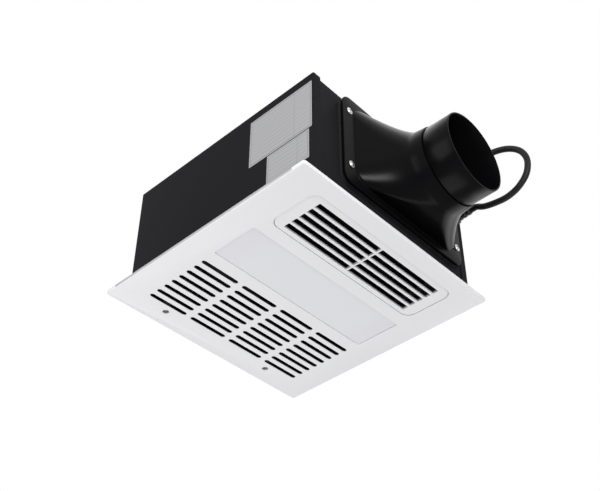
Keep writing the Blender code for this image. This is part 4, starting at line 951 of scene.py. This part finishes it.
@dataclass
class Dresser:
    """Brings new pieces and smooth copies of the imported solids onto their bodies."""

    frame: dict[str, Any]
    pieces: list[str] = field(default_factory=list)

    def body_of(self, node: str) -> Body:
        """The body that a node rides on."""
        return Body(self.frame["nodes"][node]["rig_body"])

    def slot_of(self, node: str) -> str:
        """The record's material slot of a node."""
        rows = self.frame["record"].get("subparts", [])
        return next((row["material_slot"] for row in rows if row["node"] == node), "")

    def add(self, piece: bpy.types.Object, body: Body, slot: str) -> None:
        """Let a new piece ride on a body.

        Args:
            piece: the new piece.
            body: its body.
            slot: its material slot in the record; not used.
        """
        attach(piece, body.value)
        self.pieces.append(piece.name)
        LOG.info("%s rides on %s", piece.name, body.value)

    def own(self, piece: bpy.types.Object, node: str, *others: str) -> bpy.types.Object:
        """Let a new piece stand for solids.

        Args:
            piece: the new piece.
            node: the solid whose body it takes.
            others: more solids that it stands for.

        Returns:
            The piece.
        """
        self.add(piece, self.body_of(node), self.slot_of(node))
        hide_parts(node, *others)
        LOG.info("%s stands for %s", piece.name, ", ".join((node, *others)))
        return piece

    def smooth(self, node: str, name: str, finish: Finish,
               edge: float = 0.0) -> bpy.types.Object:
        """Replace a solid by a merged, smooth-shaded copy, with its edges broken.

        Args:
            node: the solid.
            name: the material's name.
            finish: the finish.
            edge: width of the bevel on its edges, or 0 for none.

        Returns:
            The copy.
        """
        mesh = bmesh.new()
        mesh.from_mesh(self.frame["nodes"][node].data)
        bmesh.ops.remove_doubles(mesh, verts=mesh.verts, dist=MERGE_DISTANCE)
        bmesh.ops.dissolve_limit(mesh, angle_limit=math.radians(FLAT_ANGLE), verts=mesh.verts,
                                 edges=mesh.edges)
        made = shown(f"{node}_shown", mesh, Palette.get(name, finish))
        if edge:
            step = made.modifiers.new("edges", "BEVEL")
            step.width = edge
            step.segments = 2
            step.limit_method = "ANGLE"
            step.angle_limit = math.radians(SHARP_ANGLE)
            step.use_clamp_overlap = True
            step.harden_normals = True
            made = settled(made)
        return self.own(made, node)


# --- Studio ---------------------------------------------------------------------------------


@dataclass(frozen=True)
class Softbox:
    """One rectangular lamp."""

    name: str
    place: Point
    target: Point
    size: Flat
    power: float

    def build(self) -> None:
        """Make the lamp."""
        data = bpy.data.lights.new(self.name, "AREA")
        data.shape = "RECTANGLE"
        data.size, data.size_y = self.size
        data.energy = self.power
        made = linked(self.name, data)
        made.location = self.place
        way = Vector(self.target) - Vector(self.place)
        made.rotation_euler = way.to_track_quat("-Z", "Y").to_euler()
        made.visible_camera = False


@dataclass
class Studio:
    """Camera, lamps, world and floor."""

    eye: Point = (0.65725, -0.69064, -0.73709)
    right: Point = (0.74186713, 0.67040254, -0.01391395)
    down: Point = (-0.43402706, 0.46427037, -0.77205799)
    forward: Point = (-0.51112980, 0.57880347, 0.63539977)
    lens: float = 60.655
    sensor: float = 36.0
    shift: Flat = (-0.04521, 0.03063)
    nearest: float = 0.01
    ambient: float = 0.40
    floor_height: float = -1.60
    floor_side: float = 9.0
    floor_tones: tuple[Colour, Colour] = ((0.78, 0.78, 0.78), (0.82, 0.82, 0.82))
    floor_roughness: float = 0.8
    boxes: tuple[Softbox, ...] = (
        Softbox("left_box", (-0.70, -1.75, 0.00), (0.0, 0.0, 0.06), (1.4, 1.4), 18.5),
        Softbox("right_box", (0.00, 1.95, -0.38), (0.15, 0.0, 0.06), (1.4, 1.4), 10.5),
        Softbox("lower_box", (-0.75, 0.10, -1.35), (0.0, 0.0, 0.0), (1.2, 1.2), 12.0),
        Softbox("upper_box", (-0.60, 0.40, 1.90), (0.0, 0.0, 0.1), (2.0, 2.0), 10.0),
        Softbox("key_box", (1.33, -0.67, -0.16), (0.17, 0.0, 0.06), (0.46, 0.40), 16.5),
    )

    def camera(self) -> None:
        """Place the camera as the photograph was taken."""
        data = bpy.data.cameras.new("photo_camera")
        data.sensor_fit = "HORIZONTAL"
        data.sensor_width = self.sensor
        data.lens = self.lens
        data.shift_x, data.shift_y = self.shift
        data.clip_start = self.nearest
        made = linked("photo_camera", data)
        across, up = Vector(self.right), -Vector(self.down)
        back = -Vector(self.forward)
        turn = Matrix((across, up, back)).transposed().to_4x4()
        made.matrix_world = Matrix.Translation(self.eye) @ turn
        bpy.context.scene.camera = made

    def world(self) -> None:
        """White to the camera and in reflections, dim to everything else."""
        world = bpy.data.worlds.new("studio")
        bpy.context.scene.world = world
        world.use_nodes = True
        tree = world.node_tree
        tree.nodes.clear()
        path = tree.nodes.new("ShaderNodeLightPath")
        mixed = tree.nodes.new("ShaderNodeMixShader")
        leave = tree.nodes.new("ShaderNodeOutputWorld")
        for number, strength in ((1, self.ambient), (2, 1.0)):
            white = tree.nodes.new("ShaderNodeBackground")
            white.inputs["Color"].default_value = (1.0, 1.0, 1.0, 1.0)
            white.inputs["Strength"].default_value = strength
            tree.links.new(white.outputs[0], mixed.inputs[number])
        background = path.outputs["Is Camera Ray"]
        for kind in ("Is Glossy Ray", "Is Transmission Ray"):
            either = tree.nodes.new("ShaderNodeMath")
            either.operation = "MAXIMUM"
            tree.links.new(background, either.inputs[0])
            tree.links.new(path.outputs[kind], either.inputs[1])
            background = either.outputs[0]
        tree.links.new(background, mixed.inputs[0])
        tree.links.new(mixed.outputs[0], leave.inputs["Surface"])

    def floor(self) -> None:
        """A plain pale floor, far below the ceiling that the fan hangs in."""
        half = self.floor_side / 2
        mesh = bmesh.new()
        corners = [mesh.verts.new((x, y, self.floor_height))
                   for x, y in ((-half, -half), (half, -half), (half, half), (-half, half))]
        mesh.faces.new(corners)
        paint = Paint("studio_floor")
        cloud = paint.noise(1.5, 2.0)
        tone = paint.blend(cloud, *self.floor_tones)
        grey = paint.surface(Base_Color=tone, Roughness=self.floor_roughness)
        shown("floor", mesh, grey)

    def build(self) -> None:
        """Make the whole studio."""
        self.camera()
        self.world()
        self.floor()
        for box in self.boxes:
            box.build()
        bpy.context.scene.view_settings.view_transform = "Standard"
        LOG.info("studio ready")


# --- Supply cable ---------------------------------------------------------------------------


@dataclass
class SupplyCable:
    """Free stretch, coil, tie and stripped leads, on the same route as the solids."""

    radius: float = 0.0040
    start: Point = (0.1759, 0.1265, 0.1120)
    route: tuple[Point, ...] = (
        (0.1960, 0.1262, 0.1052), (0.2140, 0.1255, 0.1003), (0.2310, 0.1245, 0.0985),
        (0.2480, 0.1232, 0.1030), (0.2620, 0.1215, 0.1150), (0.2672, 0.1190, 0.1330),
        (0.2610, 0.1165, 0.1500), (0.2450, 0.1142, 0.1625), (0.2230, 0.1125, 0.1685),
        (0.1950, 0.1110, 0.1692), (0.1650, 0.1096, 0.1672), (0.1300, 0.1088, 0.1660),
        (0.0850, 0.1086, 0.1658),
    )
    centre: Flat = (0.0350, 0.0560)
    coil_height: float = 0.1674
    coil_start: float = 0.0528
    pitch: float = 0.0088
    turns: int = 2
    climb: float = 0.25
    loop_points: int = 72
    step: float = 0.0030
    overlap: float = 0.0003
    jacket_end: float = 0.0086
    lead_length: float = 0.0450
    lead_step: float = 0.0040
    core_circle: float = 0.0019
    core_radius: float = 0.0014
    core_tones: tuple[Colour, ...] = ((0.012, 0.012, 0.013), (0.60, 0.60, 0.58),
                                      (0.02, 0.16, 0.05))
    bare_tip: float = 0.0080
    strand_radius: float = 0.0008
    strand_tone: Colour = (0.70, 0.33, 0.17)

    def stretch(self) -> list[Vector]:
        """Lead the free stretch from the strain relief to the coil.

        Returns:
            Its points, along a smooth curve through the route.
        """
        first = Vector(self.start)
        stub = Vector((2 * self.radius, 0.0, 0.0))
        last = self.coil()[0]
        knots = [first, first + stub, *map(Vector, self.route), last + stub, last]
        fine = [first]
        for a, b, c, d in zip(knots, knots[1:], knots[2:], knots[3:]):
            steps = max(2, round((c - b).length / self.step))
            for k in range(steps):
                t = k / steps
                fine.append(0.5 * ((2 * b) + (c - a) * t + (2 * a - 5 * b + 4 * c - d) * t ** 2
                                   + (3 * b - a - 3 * c + d) * t ** 3))
        fine.append(knots[-2])
        return fine

    def coil(self) -> list[Vector]:
        """Lay the coil, in along the lower layer and out along the upper one.

        Returns:
            Its points, with a short straight lead at both ends.
        """
        points = []
        for i in range(2 * self.turns * self.loop_points + 1):
            t = i / self.loop_points
            away = abs(t - self.turns)
            if away < self.climb:
                away = self.climb / 2 + away ** 2 / (2 * self.climb)
            radius = self.coil_start - self.pitch * (self.turns - away)
            rise = min(max((t - self.turns + self.climb) / (2 * self.climb), 0.0), 1.0)
            height = self.coil_height + self.pitch * rise * rise * (3 - 2 * rise)
            a = math.pi / 2 + 2 * math.pi * t
            points.append(Vector((self.centre[0] + radius * math.cos(a),
                                  self.centre[1] + radius * math.sin(a), height)))
        lead = 2 * self.radius
        first = Vector((points[0].x + lead, points[0].y, self.coil_height))
        return [first, *points, points[-1] + Vector((-lead, 0.0, 0.0))]

    def build(self, dresser: Dresser) -> None:
        """Make the cable and what is on it.

        Args:
            dresser: gives the pieces their bodies.
        """
        line = self.stretch() + self.coil()
        data = bpy.data.curves.new("supply_cable", "CURVE")
        data.dimensions = "3D"
        data.bevel_depth = self.radius
        data.bevel_resolution = 6
        data.use_fill_caps = True
        spline = data.splines.new("POLY")
        spline.points.add(len(line) - 1)
        for spot, point in zip(spline.points, line):
            spot.co = (*point, 1.0)
        spline.use_smooth = True
        data.materials.append(Palette.get("cable_jacket", JACKET))
        cable = linked("supply_cable", data)
        dresser.own(cable, "power_cable", "cable_coil")
        gland = dresser.smooth("cable_gland", "gland_nylon", BLACK_NYLON, 0.0003)
        nut = dresser.smooth("gland_nut", "gland_nylon", BLACK_NYLON, 0.0003)
        tie = dresser.smooth("cable_tie", "tie_nylon", BLACK_NYLON, 0.0002)
        leads = self.leads(line[-1], dresser)
        length = sum((b - a).length for a, b in zip(line, line[1:]))
        LOG.info("cable of %.3f m", length)

    def leads(self, end: Vector, dresser: Dresser) -> bpy.types.Object:
        """Jacket's end and three insulated cores with bare tips.

        Args:
            end: where the jacket ends.
            dresser: gives the piece its body.

        Returns:
            The piece.
        """
        mesh = bmesh.new()
        wide, narrow, last = self.radius * 1.05, self.radius * 0.90, self.jacket_end
        jacket = [(0.0, 0.0), (wide, 0.0), (wide, last - 0.0008), (narrow, last), (0.0, last)]
        self.turned(mesh, jacket, end + Vector((-self.overlap, 0.0, 0.0)), 0)
        cores = len(self.core_tones)
        for number in range(cores):
            a = 2 * math.pi * number / cores + math.pi / 6
            off = Vector((-self.overlap, self.core_circle * math.cos(a),
                          self.core_circle * math.sin(a)))
            reach = self.lead_length - self.lead_step * number
            inner, bare, thick = last - 0.0006, reach - self.bare_tip, self.core_radius
            core = [(0.0, inner), (thick, inner), (thick, bare - 0.0002),
                    (thick - 0.0002, bare), (0.0, bare)]
            start, thin = bare - 0.0004, self.strand_radius
            tip = [(0.0, start), (thin, start), (thin, reach - 0.0003),
                   (thin - 0.0003, reach), (0.0, reach)]
            self.turned(mesh, core, end + off, number + 1)
            self.turned(mesh, tip, end + off, cores + 1)
        made = shown("stripped_leads", mesh, Palette.get("cable_jacket", JACKET))
        for name, tone in zip(("core_black", "core_white", "core_green"), self.core_tones):
            made.data.materials.append(Palette.get(name, PlainMoulding(tone, 0.4, 300.0)))
        copper = TurnedMetal(self.strand_tone, 0.34)
        made.data.materials.append(Palette.get("copper_strand", copper))
        return dresser.own(made, "cable_leads")

    @staticmethod
    def turned(mesh: bmesh.types.BMesh, profile: Sequence[Flat], base: Vector,
               slot: int, steps: int = 20) -> None:
        """Add a turned solid that points along -X.

        Args:
            mesh: what it is added to.
            profile: (radius, distance) points from pole to pole.
            base: where distance 0 lies.
            slot: its material number.
            steps: points round it.
        """
        rings = []
        for radius, along in profile:
            if not radius:
                rings.append([(base.x - along, base.y, base.z)])
                continue
            rings.append([(base.x - along, base.y + radius * math.cos(2 * math.pi * i / steps),
                           base.z + radius * math.sin(2 * math.pi * i / steps))
                          for i in range(steps)])
        part = skin(rings)
        for face in part.faces:
            face.material_index = slot
        data = bpy.data.meshes.new("part")
        part.to_mesh(data)
        part.free()
        mesh.from_mesh(data)
        bpy.data.meshes.remove(data)


# --- Screws ---------------------------------------------------------------------------------


@dataclass
class ScrewHeads:
    """Pan heads with a cross recess and a washer face, at the sizes of the flange's screws."""

    head_radius: float = 0.0038
    head_height: float = 0.0023
    washer_radius: float = 0.0044
    washer_thick: float = 0.0008
    recess_width: float = 0.0009
    recess_reach: float = 1.15
    dome: float = 0.97
    segments: int = 28
    rings: int = 16
    washer_sides: int = 36

    def recipe(self) -> Recipe:
        """Make the tree, which puts one head on each point.

        Returns:
            The tree. Its heads face +Z, or +X at a tilt of a quarter turn.
        """
        recipe = Recipe("pan_head_screws", {"Head Radius": self.head_radius,
                                            "Head Height": self.head_height,
                                            "Washer Radius": self.washer_radius,
                                            "Recess Width": self.recess_width,
                                            "Tilt": math.pi / 2})
        radius, height = recipe.given("Head Radius"), recipe.given("Head Height")
        ball = recipe.node("GeometryNodeMeshUVSphere", {}, {
            "Segments": self.segments, "Rings": self.rings, "Radius": 1.0})
        high = recipe.maths("MULTIPLY", height, self.dome)
        dome = recipe.node("GeometryNodeTransform", {},
                           {"Geometry": ball, "Scale": recipe.vector(radius, radius, high)})
        arm = recipe.maths("MULTIPLY", radius, self.recess_reach)
        width = recipe.given("Recess Width")
        bars = []
        for long, wide in ((arm, width), (width, arm)):
            size = recipe.vector(long, wide, height)
            cube = recipe.node("GeometryNodeMeshCube", {}, {"Size": size})
            bars.append(recipe.moved(cube, 0.0, 0.0, height))
        cut = recipe.node("GeometryNodeMeshBoolean", {"operation": "DIFFERENCE"},
                          {"Mesh 1": dome, "Mesh 2": bars})
        disc = recipe.node("GeometryNodeMeshCylinder", {"fill_type": "TRIANGLE_FAN"}, {
            "Vertices": self.washer_sides, "Radius": recipe.given("Washer Radius"),
            "Depth": self.washer_thick})
        washer = recipe.moved(disc, 0.0, 0.0, self.washer_thick / 2)
        head = recipe.node("GeometryNodeJoinGeometry", {}, {"Geometry": [cut, washer]})
        tilt = recipe.vector(0.0, recipe.given("Tilt"), 0.0)
        placed = recipe.node("GeometryNodeInstanceOnPoints", {}, {
            "Points": recipe.given("Geometry"), "Instance": head, "Rotation": tilt})
        recipe.end(placed, Palette.get("screw_zinc", SCREW_ZINC))
        return recipe


# --- Duct adapter ---------------------------------------------------------------------------


@dataclass
class DuctAdapter:
    """The moulded black adapter, its screws, gasket and back-draught flap."""

    centre: Flat = (0.0123, 0.0720)
    front: float = 0.1597
    thick: float = 0.0035
    flange_y: Span = (-0.0951, 0.1164)
    flange_z: Span = (0.0205, 0.1580)
    flange_corner: float = 0.0140
    flange_edge: float = 0.0008
    base_y: Span = (-0.0775, 0.1020)
    base_z: Span = (0.0290, 0.1500)
    base_corner: float = 0.0220
    fillet: float = 0.0015
    foot: float = 0.0012
    neck_x: float = 0.2085
    neck_radius: float = 0.0537
    neck_tip: float = 0.2238
    neck_tip_radius: float = 0.0520
    collar_x: float = 0.2250
    collar_radius: float = 0.0506
    taper: float = 0.0004
    mouth_x: float = 0.2585
    wall: float = 0.0024
    power: float = 1.50
    ring_points: int = 192
    hood_steps: int = 26
    inner_steps: int = 12
    sharp: float = 40.0
    screws_y: Flat = (-0.0844, 0.1084)
    screws_z: Flat = (0.0477, 0.1338)
    screw_seat: float = 0.0003

    def ring(self, radius: float, x: float) -> list[Point]:
        """A round ring across X.

        Args:
            radius: its radius.
            x: where it stands.

        Returns:
            The ring's points.
        """
        count = self.ring_points
        turns = [2 * math.pi * (i + 0.5) / count for i in range(count)]
        return [(x, self.centre[0] + radius * math.cos(a), self.centre[1] + radius * math.sin(a))
                for a in turns]

    def box_ring(self, ys: Span, zs: Span, corner: float, x: float) -> list[Point]:
        """A rounded rectangle across X, point for point with a round ring.

        Args:
            ys: its reach along Y.
            zs: its reach along Z.
            corner: the corners' radius.
            x: where it stands.

        Returns:
            The rectangle's points.
        """
        return [(x, y, z) for y, z in rounded(ys, zs, corner, self.ring_points // 4 - 1)]

    def hood(self, draw: float, start: float, end: float, radius: float,
             steps: int) -> list[list[Point]]:
        """Rings of the hood, from the rectangle on the flange to the round neck.

        Args:
            draw: how far it lies inside the outer skin.
            start: X of the foot.
            end: X of the neck.
            radius: radius at the neck.
            steps: how many rings follow the first.

        Returns:
            The rings.
        """
        foot = self.box_ring(inset(self.base_y, draw), inset(self.base_z, draw),
                             self.base_corner - draw, 0.0)
        neck = self.ring(radius, 0.0)
        rings = []
        for step in range(steps + 1):
            t = step / steps
            mix = 1 - (1 - t) ** self.power
            x = start + (end - start) * t
            rings.append([(x, a[1] + (b[1] - a[1]) * mix, a[2] + (b[2] - a[2]) * mix)
                          for a, b in zip(foot, neck)])
        return rings

    def shell(self) -> bmesh.types.BMesh:
        """Make the adapter's whole skin, outside and inside.

        Returns:
            The closed mesh.
        """
        back, edge = self.front - self.thick, self.flange_edge
        ys, zs, corner = self.flange_y, self.flange_z, self.flange_corner
        outer = [self.box_ring(ys, zs, corner, back)]
        for t in range(5):
            a = t / 4 * math.pi / 2
            cut = edge * (1 - math.cos(a))
            outer.append(self.box_ring(inset(ys, cut), inset(zs, cut), corner - cut,
                                       self.front - edge * (1 - math.sin(a))))
        for t in (1.0, 0.6, 0.25):
            grow = self.fillet * t * t
            outer.append(self.box_ring(inset(self.base_y, -grow), inset(self.base_z, -grow),
                                       self.base_corner + grow,
                                       self.front + self.foot * (1 - t) ** 2))
        outer += self.hood(0.0, self.front + self.foot, self.neck_x, self.neck_radius,
                           self.hood_steps)
        neck, rim, tip = self.neck_radius, self.neck_tip_radius, self.neck_tip
        collar, end = self.collar_radius, self.collar_radius - self.taper
        outer += [self.ring(radius, x) for radius, x in (
            (neck - 0.0001, self.neck_x + 0.0008), (neck - 0.0003, self.neck_x + 0.0020),
            (rim, tip - 0.0008), (rim - 0.0003, tip - 0.0002), (rim - 0.0008, tip),
            (collar - 0.0014, tip + 0.0001), (collar - 0.0014, self.collar_x),
            (collar - 0.0003, self.collar_x + 0.0001), (collar, self.collar_x + 0.0006),
            (end, self.mouth_x - 0.0008), (end - 0.0002, self.mouth_x - 0.0002),
            (end - 0.0007, self.mouth_x))]
        bore = self.collar_radius - self.wall
        inner = [self.ring(bore + 0.0003, self.mouth_x), self.ring(bore, self.mouth_x - 0.0006),
                 self.ring(bore, self.neck_x - 0.0010)]
        inner += self.hood(self.wall, back, self.neck_x - 0.0012, bore + 0.0002,
                           self.inner_steps)[::-1]
        return skin(outer + inner, loop=True)

    def build(self, dresser: Dresser, screws: Recipe) -> None:
        """Make the adapter and its small parts.

        Args:
            dresser: gives the pieces their bodies.
            screws: the tree that makes screw heads.
        """
        black = Palette.get("black_moulding", BLACK_PLASTIC)
        dresser.own(shown("duct_hood", self.shell(), black, self.sharp), "duct_adapter")
        places = [(self.front + self.screw_seat, y, z)
                  for z in self.screws_z for y in self.screws_y]
        for number, place in enumerate(places, 1):
            made = screws.grow(f"flange_screw_{number}", [place], {"Tilt": math.pi / 2})
            dresser.own(made, f"adapter_screw_{number}")
        dresser.smooth("adapter_gasket", "gasket_foam", FOAM, 0.0004)
        dresser.smooth("damper_flap", "black_moulding", BLACK_PLASTIC, 0.0003)
        dresser.smooth("damper_pin", "plated_pin", STEEL)


# --- Housing --------------------------------------------------------------------------------


@dataclass
class Housing:
    """Painted steel box, its two bare labels and the tape behind its joist slots."""

    wall_y: float = -0.1365
    label_thick: float = 0.00018
    label_corner: float = 0.0012
    upper: tuple[Span, Span] = ((0.0520, 0.1495), (0.0764, 0.1510))
    lower: tuple[Span, Span] = ((0.0812, 0.1452), (0.0310, 0.0750))
    slots: tuple[Flat, ...] = ((-0.095, 0.045), (0.095, 0.045), (-0.095, 0.130), (0.095, 0.130))
    slot_wall: float = -0.1465
    tape_half: Flat = (0.0065, 0.0090)
    tape_thick: float = 0.0008
    tape_corner: float = 0.0010

    def label(self, name: str, x_range: Span, z_range: Span, dresser: Dresser) -> None:
        """One label on the near wall.

        Args:
            name: the piece's name.
            x_range: its reach along X.
            z_range: its reach along Z.
            dresser: gives the piece its body.
        """
        outline = rounded(x_range, z_range, self.label_corner, 5)
        near, far = self.wall_y, self.wall_y - self.label_thick
        mesh = skin([[(x, y, z) for x, z in outline] for y in (near, far)])
        middle = (sum(x_range) / 2, sum(z_range) / 2)
        half = ((x_range[1] - x_range[0]) / 2, (z_range[1] - z_range[0]) / 2)
        paper = LabelPaper(middle, half)
        made = shown(name, mesh, Palette.get(f"{name}_film", paper))
        dresser.add(made, Body.HOUSING, "white_plastic")

    def tape(self, name: str, place: Flat, dresser: Dresser) -> None:
        """One piece of dark foam tape behind a joist slot.

        Args:
            name: the piece's name.
            place: the slot's centre, Y and Z.
            dresser: gives the piece its body.
        """
        (y, z), (half_y, half_z) = place, self.tape_half
        outline = rounded((y - half_y, y + half_y), (z - half_z, z + half_z),
                          self.tape_corner, 3)
        ends = (self.slot_wall, self.slot_wall + self.tape_thick)
        mesh = skin([[(x, v, w) for v, w in outline] for x in ends])
        dresser.add(shown(name, mesh, Palette.get("foam_tape", FOAM)), Body.HOUSING, "foam")

    def build(self, dresser: Dresser) -> None:
        """Dress the box.

        Args:
            dresser: gives the pieces their bodies.
        """
        for node in ("housing_shell", "duct_panel", "top_cover"):
            dresser.smooth(node, "baked_black", BLACK_PAINT, 0.0002)
        self.label("upper_label", *self.upper, dresser)
        self.label("lower_label", *self.lower, dresser)
        for number in (1, 2):
            dresser.smooth(f"screw_bracket_{number}", "dark_sheet", DARK_SHEET)
        for number, place in enumerate(self.slots, 1):
            self.tape(f"slot_tape_{number}", place, dresser)


# --- Panel ----------------------------------------------------------------------------------


@dataclass
class Panel:
    """White panel, louvre insert, lens, light and the two bright screws."""

    screws: tuple[Flat, ...] = ((-0.1358, -0.0883), (-0.1358, 0.0814))
    screw_radius: float = 0.0036
    screw_height: float = 0.0021
    screw_seat: float = 0.0002
    edge: float = 0.00035

    def build(self, dresser: Dresser, screws: Recipe) -> None:
        """Dress the panel.

        Args:
            dresser: gives the pieces their bodies.
            screws: the tree that makes screw heads.
        """
        # The panel and the louvre insert get painted shade on the walls of their openings.
        dresser.smooth("grille_panel", "panel_white_painted_shade", WHITE_WITH_PAINTED_SHADE, self.edge)
        dresser.smooth("louvre_insert", "louvre_white_painted_shade", LOUVRE_WHITE_WITH_PAINTED_SHADE, self.edge)
        dresser.smooth("light_lens", "frosted_lens", FROST, 0.00025)
        dresser.smooth("light_tray", "white_moulding", WHITE)
        dresser.smooth("light_board", "led_board", BOARD)
        dresser.smooth("light_driver", "white_moulding", WHITE, 0.0004)
        sizes = {"Tilt": math.pi, "Washer Radius": self.screw_radius,
                 "Head Radius": self.screw_radius, "Head Height": self.screw_height}
        for number, (x, y) in enumerate(self.screws, 1):
            made = screws.grow(f"face_screw_{number}", [(x, y, self.screw_seat)], sizes)
            made.data.materials.clear()
            made.data.materials.append(Palette.get("bright_chrome", CHROME))
            dresser.own(made, f"panel_screw_{number}")


# --- Inside ---------------------------------------------------------------------------------


@dataclass
class Inside:
    """Blower, heater and wiring, each solid with its material's name and finish."""

    finishes: tuple[tuple[str, str, Finish], ...] = (
        ("blower_scroll", "scroll_sheet", DARK_SHEET),
        ("scroll_inlet", "dark_sheet", DARK_SHEET),
        ("blower_wheel", "black_moulding", BLACK_PLASTIC),
        ("blower_shaft", "ground_steel", STEEL),
        ("blower_motor", "motor_lacquer", MOTOR_GREY),
        ("motor_plate", "zinc_sheet", ZINC),
        ("heater_casing", "dark_sheet", DARK_SHEET),
        ("heater_core", "dark_fins", DARK_FINS),
        ("heater_roller", "dark_fins", DARK_FINS),
        ("heater_rod", "ground_steel", STEEL),
        ("heater_motor", "motor_lacquer", MOTOR_GREY),
        ("heater_bush", "soft_rubber", RUBBER),
        ("thermal_cutout", "black_moulding", BLACK_PLASTIC),
        ("core_block_1", "mica_block", CERAMIC),
        ("core_block_2", "mica_block", CERAMIC),
        ("wiring_box", "zinc_sheet", ZINC),
        ("wiring_lid", "zinc_sheet", ZINC),
        ("terminal_block", "terminal_nylon", NYLON),
    )

    def build(self, dresser: Dresser) -> None:
        """Dress everything inside the housing.

        Args:
            dresser: gives the pieces their bodies.
        """
        for node, name, finish in self.finishes:
            dresser.smooth(node, name, finish)


def main() -> None:
    """Build the studio, then the fan."""
    logging.basicConfig(level=logging.INFO, format="%(name)s: %(message)s")
    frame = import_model()
    Studio().build()
    dresser = Dresser(frame)
    SupplyCable().build(dresser)
    screws = ScrewHeads().recipe()
    DuctAdapter().build(dresser, screws)
    Housing().build(dresser)
    Panel().build(dresser, screws)
    Inside().build(dresser)
    LOG.info("%d pieces", len(dresser.pieces))


if __name__ == "__main__":
    main()
